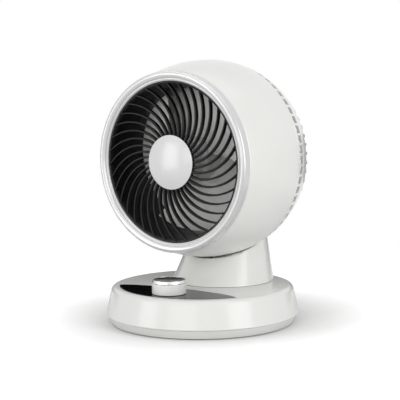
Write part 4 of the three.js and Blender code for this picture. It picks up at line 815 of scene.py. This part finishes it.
grille_front = OPENING_Y + GAP
grille_back = grille_front + GRILLE_RIB_DEPTH


def rib_middle(radius):
    """Angle of the first rib at a radius."""
    share = (radius - GRILLE_HUB_RADIUS) / (RIM_INNER - GRILLE_HUB_RADIUS)
    return GRILLE_PHASE + GRILLE_SWIRL * max(0.0, share) ** GRILLE_SWIRL_POWER


def grille_rib(index):
    """A spiral bar with a round front edge and a slight taper to the back."""
    half = GRILLE_RIB_WIDTH / 2
    first, last = GRILLE_HUB_RADIUS - 1.5, OPENING_RADIUS - GAP - 0.8
    profile = [(-1, 0.75), (-0.92, 0.4), (-0.7, 0.16), (-0.36, 0.03), (0, 0), (0.36, 0.03), (0.7, 0.16),
               (0.92, 0.4), (1, 0.75), (0.86, GRILLE_RIB_DEPTH), (-0.86, GRILLE_RIB_DEPTH)]
    sections = []
    for i in range(GRILLE_RIB_STEPS + 1):
        radius = first + (last - first) * i / GRILLE_RIB_STEPS
        angle = rib_middle(radius) + 360 * index / GRILLE_RIBS
        section = []
        for side, depth in profile:
            turn = side * half / radius / DEG
            x, z = polar(radius, angle + turn)
            section.append((x, grille_front + depth + HEAD_Y, z + HEAD_Z))
        sections.append(section)
    return sweep(sections)


hub_disc = lathe(rounded([
    (4.3, grille_front), (GRILLE_HUB_RADIUS, grille_front, 0.3), (GRILLE_HUB_RADIUS, grille_back, 0.3),
    (4.3, grille_back),
]), SMALL_SEGMENTS, "Y", HEAD_CENTRE)
rim_outer = OPENING_RADIUS - GAP
grille_rim = lathe(rounded([
    (RIM_INNER, grille_front + 0.5, 0.4), (rim_outer, grille_front + 0.2, 0.3),
    (rim_outer, grille_front + 3), (TONGUE_INNER - GAP, grille_front + 3),
    (TONGUE_INNER - GAP, grille_front + 5), (rim_outer - 1.2, grille_front + 5),
    (rim_outer - 1.2, grille_back), (RIM_INNER, grille_back),
]), SEGMENTS, "Y", HEAD_CENTRE)
grille_ribs = [grille_rib(i) for i in range(GRILLE_RIBS)]
build("grille", merged([hub_disc, grille_rim, *grille_ribs]), grille_black, "head",
      "spiral_grille")

cap_profile = [
    (0, OPENING_Y + 6), (4, OPENING_Y + 6, 0.4), (4, OPENING_Y), (CAP_RADIUS - 0.2, OPENING_Y, 0.15),
    (CAP_RADIUS, OPENING_Y - CAP_EDGE + 0.2, 0.5),
]
for i in range(CAP_STEPS + 1):
    share = 1 - i / CAP_STEPS
    height = OPENING_Y - CAP_EDGE - CAP_DOME * (1 - share ** CAP_CROWN)
    cap_profile.append(((CAP_RADIUS - 0.4) * share, height))
build("centre_cap", lathe(rounded(cap_profile, closed=False), 160, "Y", HEAD_CENTRE), pearl, "head",
      "hub_cap")

duct_front = -61.2
flange_front, flange_back = -55.0, -52.5
flange_outer = shell_radius(flange_front) - SHELL_WALL - 2 * GAP


def duct_outer(y):
    """Outer radius of the duct's cone."""
    share = min(1, (y - duct_front) / (THROAT_Y - duct_front))
    return OPENING_RADIUS + (THROAT_RADIUS - OPENING_RADIUS) * share + DUCT_WALL


ledge_outer = THROAT_RADIUS + DUCT_BACK_LEDGE
build("duct", lathe(rounded([
    (OPENING_RADIUS, duct_front, 0.3), (THROAT_RADIUS, THROAT_Y, 14), (THROAT_RADIUS, 0, 0.5),
    (ledge_outer, 0, 0.5), (ledge_outer, -2.5, 0.5), (THROAT_RADIUS + DUCT_WALL, -2.5),
    (THROAT_RADIUS + DUCT_WALL, THROAT_Y), (duct_outer(flange_back), flange_back),
    (flange_outer, flange_back), (flange_outer, flange_front), (duct_outer(flange_front), flange_front),
    (OPENING_RADIUS + DUCT_WALL, duct_front),
], steps=8), axis="Y", centre=HEAD_CENTRE), duct_black, "head", "air_duct")


# -------- rear grille
def rear_point(theta, azimuth, radius):
    """A point of the rear sphere: theta from the front axis, azimuth about it."""
    ring = radius * math.sin(theta * DEG)
    x, z = polar(ring, azimuth)
    return (x, -radius * math.cos(theta * DEG) + HEAD_Y, z + HEAD_Z)


def meridian(pairs):
    """Points of a lathe's outline, from pairs of a radius and an angle from the front axis."""
    return [(r * math.sin(a * DEG), -r * math.cos(a * DEG)) for r, a in pairs]


def rear_ring(first, last):
    """A closed band of the sphere between two angles from the front axis, with soft edges."""
    edge = 0.25
    steps = max(2, int((last - first) / 1.5))
    outer = [(HEAD_RADIUS, first + edge + (last - first - 2 * edge) * i / steps) for i in range(steps + 1)]
    inside = HEAD_RADIUS - REAR_WALL
    inner = [(inside, first + (last - first) * (steps - i) / steps) for i in range(steps + 1)]
    band = [(HEAD_RADIUS - 0.4, first), *outer, (HEAD_RADIUS - 0.4, last), *inner]
    return lathe(meridian(band), 240, "Y", HEAD_CENTRE)


def rear_rib(azimuth, first, last):
    """A bar along the sphere, with a rounded outer face."""
    steps = max(2, int((last - first) / 2))
    half = REAR_RIB_ANGLE / 2
    profile = [(-1, 0.5), (-0.85, 0.15), (-0.5, 0.02), (0, 0), (0.5, 0.02), (0.85, 0.15), (1, 0.5),
               (0.9, REAR_WALL), (-0.9, REAR_WALL)]
    sections = []
    for i in range(steps + 1):
        theta = first + (last - first) * i / steps
        section = [rear_point(theta, azimuth + side * half, HEAD_RADIUS - depth) for side, depth in profile]
        sections.append(section)
    return sweep(sections)


def rear_pad():
    """The closed patch over the neck that carries the tilt clamp."""
    span = np.linspace(270 - PAD_ANGLE, 270 + PAD_ANGLE, 33)
    sections = []
    for theta in np.linspace(REAR_ROWS[0] + 1, PAD_END, 21):
        outer = [rear_point(theta, a, HEAD_RADIUS - 0.05) for a in span]
        inner = [rear_point(theta, a, HEAD_RADIUS - REAR_WALL + 0.05) for a in reversed(span)]
        sections.append(outer + inner)
    return sweep(sections)


def rear_back():
    """The closed disc in the middle of the back, with a shallow groove near its edge."""
    edge = REAR_ROWS[4] - 0.2
    outer = [(HEAD_RADIUS - 0.4, edge), (HEAD_RADIUS, edge + 0.3), (HEAD_RADIUS, 156.2),
             (HEAD_RADIUS - 0.5, 156.6), (HEAD_RADIUS - 0.5, 157.3), (HEAD_RADIUS, 157.7)]
    outer += [(HEAD_RADIUS, a) for a in np.linspace(159, 179, 12)]
    inner = [(HEAD_RADIUS - REAR_WALL, a) for a in np.linspace(edge, 179, 14)]
    outline = [(0, HEAD_RADIUS), *meridian(reversed(outer)), *meridian(inner), (0, HEAD_RADIUS - REAR_WALL)]
    return lathe(outline, 180, "Y", HEAD_CENTRE)


rib_angles = [360 * (i + 0.5) / REAR_RIBS for i in range(REAR_RIBS)]
over_neck = [a for a in rib_angles if abs(a - 270) < PAD_ANGLE - 1]
rear_parts = [rear_ring(*REAR_ROWS[0:2]), rear_ring(*REAR_ROWS[2:4]), rear_back(), rear_pad()]
for angle in rib_angles:
    if angle not in over_neck:
        rear_parts.append(rear_rib(angle, REAR_ROWS[1] - 0.6, REAR_ROWS[2] + 0.6))
    first = PAD_END - 0.6 if angle in over_neck else REAR_ROWS[3] - 0.6
    rear_parts.append(rear_rib(angle, first, REAR_ROWS[4] + 0.8))
build("back_grille", merged(rear_parts), white, "head", "rear_grille")


# -------- impeller
def blade_shape(index):
    """A blade as two sheets, front and back, joined round their border."""
    inner, outer = IMPELLER_HUB - 2, THROAT_RADIUS - BLADE_TIP_GAP
    front, back = IMPELLER_FRONT + 3, IMPELLER_BACK - 2
    radial_steps, chord_steps = 26, 56
    middle = (inner + outer) / 2
    faces_points = []
    for face in (0, 1):
        for i in range(radial_steps + 1):
            radius = inner + (outer - inner) * i / radial_steps
            for j in range(chord_steps + 1):
                along = j / chord_steps
                tip = smooth(i / radial_steps, 0.8, 1.0) * BLADE_TIP_ROUNDING
                along = tip + (1 - 2 * tip) * along
                angle = (BLADE_PHASE + 360 * index / BLADES + BLADE_ANGLE * (along - 0.5)
                         + BLADE_SWEEP * (radius - middle))
                from_side = 10 * min(j, chord_steps - j) / chord_steps
                from_tip = 8 * (radial_steps - i) / radial_steps
                fullness = math.sqrt(min(1.0, from_side, from_tip))
                thick = BLADE_THICKNESS * (BLADE_EDGE + (1 - BLADE_EDGE) * fullness)
                y = front + (back - front) * (along + BLADE_CAMBER * math.sin(along * math.pi))
                y += BLADE_THICKNESS / 2 + (thick / 2 if face else -thick / 2)
                x, z = polar(radius, angle)
                faces_points.append((x, y + HEAD_Y, z + HEAD_Z))
    rows, columns = radial_steps + 1, chord_steps + 1
    half = rows * columns
    faces = sheet_faces(rows, columns)
    faces += [tuple(i + half for i in reversed(face)) for face in sheet_faces(rows, columns)]
    border = [(0, j) for j in range(columns)] + [(i, columns - 1) for i in range(1, rows)]
    border += [(rows - 1, j) for j in range(columns - 2, -1, -1)] + [(i, 0) for i in range(rows - 2, 0, -1)]
    ids = [i * columns + j for i, j in border]
    for a, b in zip(ids, ids[1:] + ids[:1]):
        faces.append((a, b, b + half, a + half))
    return faces_points, faces


hub_bore, hub_boss, hub_inner = 2.8, 6.8, IMPELLER_HUB - 2.5
impeller_hub = lathe(rounded([
    (hub_bore, IMPELLER_FRONT), (IMPELLER_HUB, IMPELLER_FRONT, 4), (IMPELLER_HUB, IMPELLER_BACK, 0.3),
    (hub_inner, IMPELLER_BACK), (hub_inner, IMPELLER_FRONT + 5), (hub_boss, IMPELLER_FRONT + 5),
    (hub_boss, IMPELLER_BACK - 2), (hub_bore, IMPELLER_BACK - 2),
], steps=6), SMALL_SEGMENTS, "Y", HEAD_CENTRE)
blades = [blade_shape(i) for i in range(BLADES)]
build("propeller", merged([impeller_hub, *blades]), blade_grey, "impeller", "impeller")

# -------- motor, as it shows through the back
can_inside = CAN_BACK - CAN_SHEET
collar_front = can_inside - BEARING_DEPTH
band_radius = CAN_RADIUS - CAN_BAND
can_outline = rounded([
    (CAN_RADIUS - CAN_SHEET, CAN_FRONT), (CAN_RADIUS, CAN_FRONT, 0.3), (CAN_RADIUS, CAN_FRONT + 8, 0.3),
    (band_radius, CAN_FRONT + 8.4, 0.3), (band_radius, CAN_FRONT + 22, 0.3),
    (CAN_RADIUS, CAN_FRONT + 22.4, 0.3), (CAN_RADIUS, CAN_BACK, 2.5), (12, CAN_BACK, 0.6),
    (11.4, CAN_BACK + 0.6, 0.6), (SHAFT_HOLE, CAN_BACK + 0.6), (SHAFT_HOLE, can_inside),
    (BEARING_SEAT, can_inside), (BEARING_SEAT, collar_front), (BEARING_COLLAR, collar_front),
    (BEARING_COLLAR, can_inside), (CAN_RADIUS - CAN_SHEET, can_inside),
])
build("motor_body", lathe(can_outline, SMALL_SEGMENTS, "Y", HEAD_CENTRE), steel, "head",
      "motor_can")
collar_back = END_CAP_BACK + BEARING_DEPTH
end_outline = rounded([
    (SHAFT_HOLE, END_CAP_FRONT), (CAN_RADIUS, END_CAP_FRONT, 0.8), (CAN_RADIUS, END_CAP_BACK, 0.1),
    (BEARING_COLLAR, END_CAP_BACK), (BEARING_COLLAR, collar_back), (BEARING_SEAT, collar_back),
    (BEARING_SEAT, END_CAP_BACK), (SHAFT_HOLE, END_CAP_BACK),
])
build("motor_front", lathe(end_outline, SMALL_SEGMENTS, "Y", HEAD_CENTRE), steel, "head",
      "motor_end_cap")

# -------- finishes of the solids that stay
screws = []
for prefix, count in (("neck_screw", 4), ("duct_screw", 3), ("rear_screw", 3)):
    screws += [f"{prefix}_{i + 1}" for i in range(count)]
kept = (
    (steel, ["ballast_plate", "swivel_motor", "switch_shaft", "swivel_retainer", "tilt_bracket", "tilt_bolt",
             "tilt_spring", "tilt_nut", "impeller_nut", "motor_shaft", "motor_rotor", *screws]),
    (acetal, ["swivel_bearing_ring", "swivel_pinion", "neck_turntable", "swivel_gear", "tilt_washer"]),
    (chrome, ["motor_bearing_front", "motor_bearing_rear"]),
    (board_green, ["control_board"]),
    (switch_body, ["rotary_switch"]),
    (white, ["tilt_saddle"]),
    (duct_black, ["motor_spider"]),
    (copper, ["motor_stator"]),
)
for material, names in kept:
    for name in names:
        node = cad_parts[name]
        node.data.materials.clear()
        node.data.materials.append(material)

# -------- floor, light and camera
CAMERA_AZIMUTH = 36.008
CAMERA_ELEVATION = 5.661
CAMERA_ROLL = -0.647
CAMERA_DISTANCE = 1282.7
CAMERA_FOCAL = 1221.4              # in pixels of the 400 wide image
CAMERA_MIDDLE = (201.3, 189.1)
CAMERA_TARGET = (0, 0, 140)
IMAGE = 400

CARD_DISTANCE = 900
CARD_TOP = 230
CARD_SPREAD = 58                   # half-angle of the card, seen from the fan
CARD_STEPS = 32

WORLD_FILL = 0.6                   # the world's strength as light, 1 where it is seen or mirrored

FLOOR_REACH = 1500
FLOOR_FADE = (0.22, 0.5)           # metres from the middle, where the floor melts into the background
FLOOR_TONE = 0.8
FLOOR_SEEN = 2.0                   # the floor's tone for the camera alone
FLOOR_NEAR = 0.3                   # metres, reach of the shadow painted into the floor's colour close to the base
FLOOR_FALL = 6.5                   # how fast that painted shadow clears
FLOOR_DARK = 0.42                  # share of the tone that is left where the painted shadow is deepest

floor = raw_object("floor", lathe([(0, -2), (FLOOR_REACH, -2), (FLOOR_REACH, 0), (0, 0)], 64))
ground = Nodes("floor_pale")
is_camera = ground.new("ShaderNodeLightPath").outputs["Is Camera Ray"]
# Painted shadow: for the camera, ambient occlusion darkens the floor's colour round the base, on top of the
# real shadow that the lamps cast.
near = ground.new("ShaderNodeAmbientOcclusion", samples=16)
near.inputs["Distance"].default_value = FLOOR_NEAR
shade = ground.new("ShaderNodeMath", operation="POWER")
ground.link(near.outputs["AO"], shade.inputs[0])
shade.inputs[1].default_value = FLOOR_FALL
seen_tone_painted_shadow = ground.span(shade.outputs["Value"], FLOOR_SEEN * FLOOR_DARK, FLOOR_SEEN, 0, 1)
tone = ground.new("ShaderNodeMix", data_type="FLOAT")
ground.link(is_camera, tone.inputs["Factor"])
tone.inputs["A"].default_value = FLOOR_TONE
ground.link(seen_tone_painted_shadow, tone.inputs["B"])
matt = ground.new("ShaderNodeBsdfDiffuse")
ground.link(tone.outputs["Result"], matt.inputs["Color"])
distance = ground.new("ShaderNodeVectorMath", operation="LENGTH")
ground.link(ground.place, distance.inputs[0])
melt = ground.new("ShaderNodeMixShader")
ground.link(ground.span(distance.outputs["Value"], 0, 1, *FLOOR_FADE), melt.inputs["Fac"])
ground.link(matt.outputs["BSDF"], melt.inputs[1])
ground.link(ground.new("ShaderNodeBsdfTransparent").outputs["BSDF"], melt.inputs[2])
ground.link(melt.outputs["Shader"], ground.tree.nodes["Material Output"].inputs["Surface"])
ground.tree.nodes.remove(ground.shader)
floor.data.materials.append(ground.material)

world = bpy.data.worlds.new("studio")
world.use_nodes = True
bpy.context.scene.world = world
sky = world.node_tree
paths = sky.nodes.new("ShaderNodeLightPath")


def either(first, second):
    """The larger of two values, in the world's nodes."""
    node = sky.nodes.new("ShaderNodeMath")
    node.operation = "MAXIMUM"
    sky.links.new(first, node.inputs[0])
    sky.links.new(second, node.inputs[1])
    return node.outputs["Value"]


seen = either(paths.outputs["Is Camera Ray"], paths.outputs["Is Transmission Ray"])
mirrored = either(seen, paths.outputs["Is Glossy Ray"])
strength = sky.nodes.new("ShaderNodeMapRange")
strength.inputs["To Min"].default_value = WORLD_FILL
strength.inputs["To Max"].default_value = 1.0
sky.links.new(mirrored, strength.inputs["Value"])
sky.nodes["Background"].inputs["Color"].default_value = (1, 1, 1, 1)
sky.links.new(strength.outputs["Result"], sky.nodes["Background"].inputs["Strength"])


def softbox(name, place, target, size, watts):
    """A rectangular lamp that looks at a target, all in metres."""
    light = bpy.data.lights.new(name, "AREA")
    light.shape = "RECTANGLE"
    light.size, light.size_y = size
    light.energy = watts
    lamp = bpy.data.objects.new(name, light)
    bpy.context.scene.collection.objects.link(lamp)
    lamp.location = place
    lamp.rotation_euler = (Vector(target) - Vector(place)).to_track_quat("-Z", "Y").to_euler()


def around(azimuth, distance, height):
    """A place in metres, seen from above: azimuth 0 is in front of the fan, 90 to its right."""
    x, y = polar(distance, azimuth - 90)
    return (x, y, height)


softbox("key", around(-15, 1.3, 1.4), (0, 0, 0.12), (1.2, 1.0), 2.0)
softbox("front", around(12, 1.5, 0.4), (0, 0, 0.14), (0.9, 0.6), 2.6)
softbox("strip_right", around(80, 1.1, 0.4), (0, 0, 0.16), (0.55, 0.8), 4.6)
softbox("strip_left", around(-30, 1.2, 0.3), (0, 0, 0.16), (0.5, 0.7), 3.0)
softbox("top", (0.0, 0.1, 1.6), (0, 0, 0.1), (1.4, 1.4), 2.9)


def dark_card():
    """A low dark arc behind the fan, unseen by the camera, that the glossy top and panel mirror."""
    middle = CAMERA_AZIMUTH + 90
    rows = []
    for height in (1, CARD_TOP):
        row = []
        for i in range(CARD_STEPS + 1):
            x, y = polar(CARD_DISTANCE, middle + CARD_SPREAD * (2 * i / CARD_STEPS - 1))
            row.append((x, y, height))
        rows.append(row)
    card = raw_object("dark_card", (rows[0] + rows[1], sheet_faces(2, CARD_STEPS + 1)))
    card.data.materials.append(finish_of("card_black", srgb(12, 12, 12), 0.9, specular=0.1))
    card.visible_camera = False


dark_card()

azimuth, elevation, roll = (v * DEG for v in (CAMERA_AZIMUTH, CAMERA_ELEVATION, CAMERA_ROLL))
level = math.cos(elevation)
back = Vector((math.sin(azimuth) * level, -math.cos(azimuth) * level, math.sin(elevation)))
level_right = Vector((math.cos(azimuth), math.sin(azimuth), 0))
level_up = back.cross(level_right)
right = level_right * math.cos(roll) + level_up * math.sin(roll)
up = -level_right * math.sin(roll) + level_up * math.cos(roll)
camera_data = bpy.data.cameras.new("camera")
camera_data.sensor_width = 36
camera_data.lens = CAMERA_FOCAL / IMAGE * camera_data.sensor_width
camera_data.shift_x = -(CAMERA_MIDDLE[0] - IMAGE / 2) / IMAGE
camera_data.shift_y = (CAMERA_MIDDLE[1] - IMAGE / 2) / IMAGE
camera = bpy.data.objects.new("camera", camera_data)
bpy.context.scene.collection.objects.link(camera)
camera_place = (Vector(CAMERA_TARGET) + back * CAMERA_DISTANCE) * MM
camera_turn = Matrix((right, up, back)).transposed().to_4x4()
camera.matrix_world = Matrix.Translation(camera_place) @ camera_turn
bpy.context.scene.camera = camera
bpy.context.scene.view_settings.view_transform = "Standard"
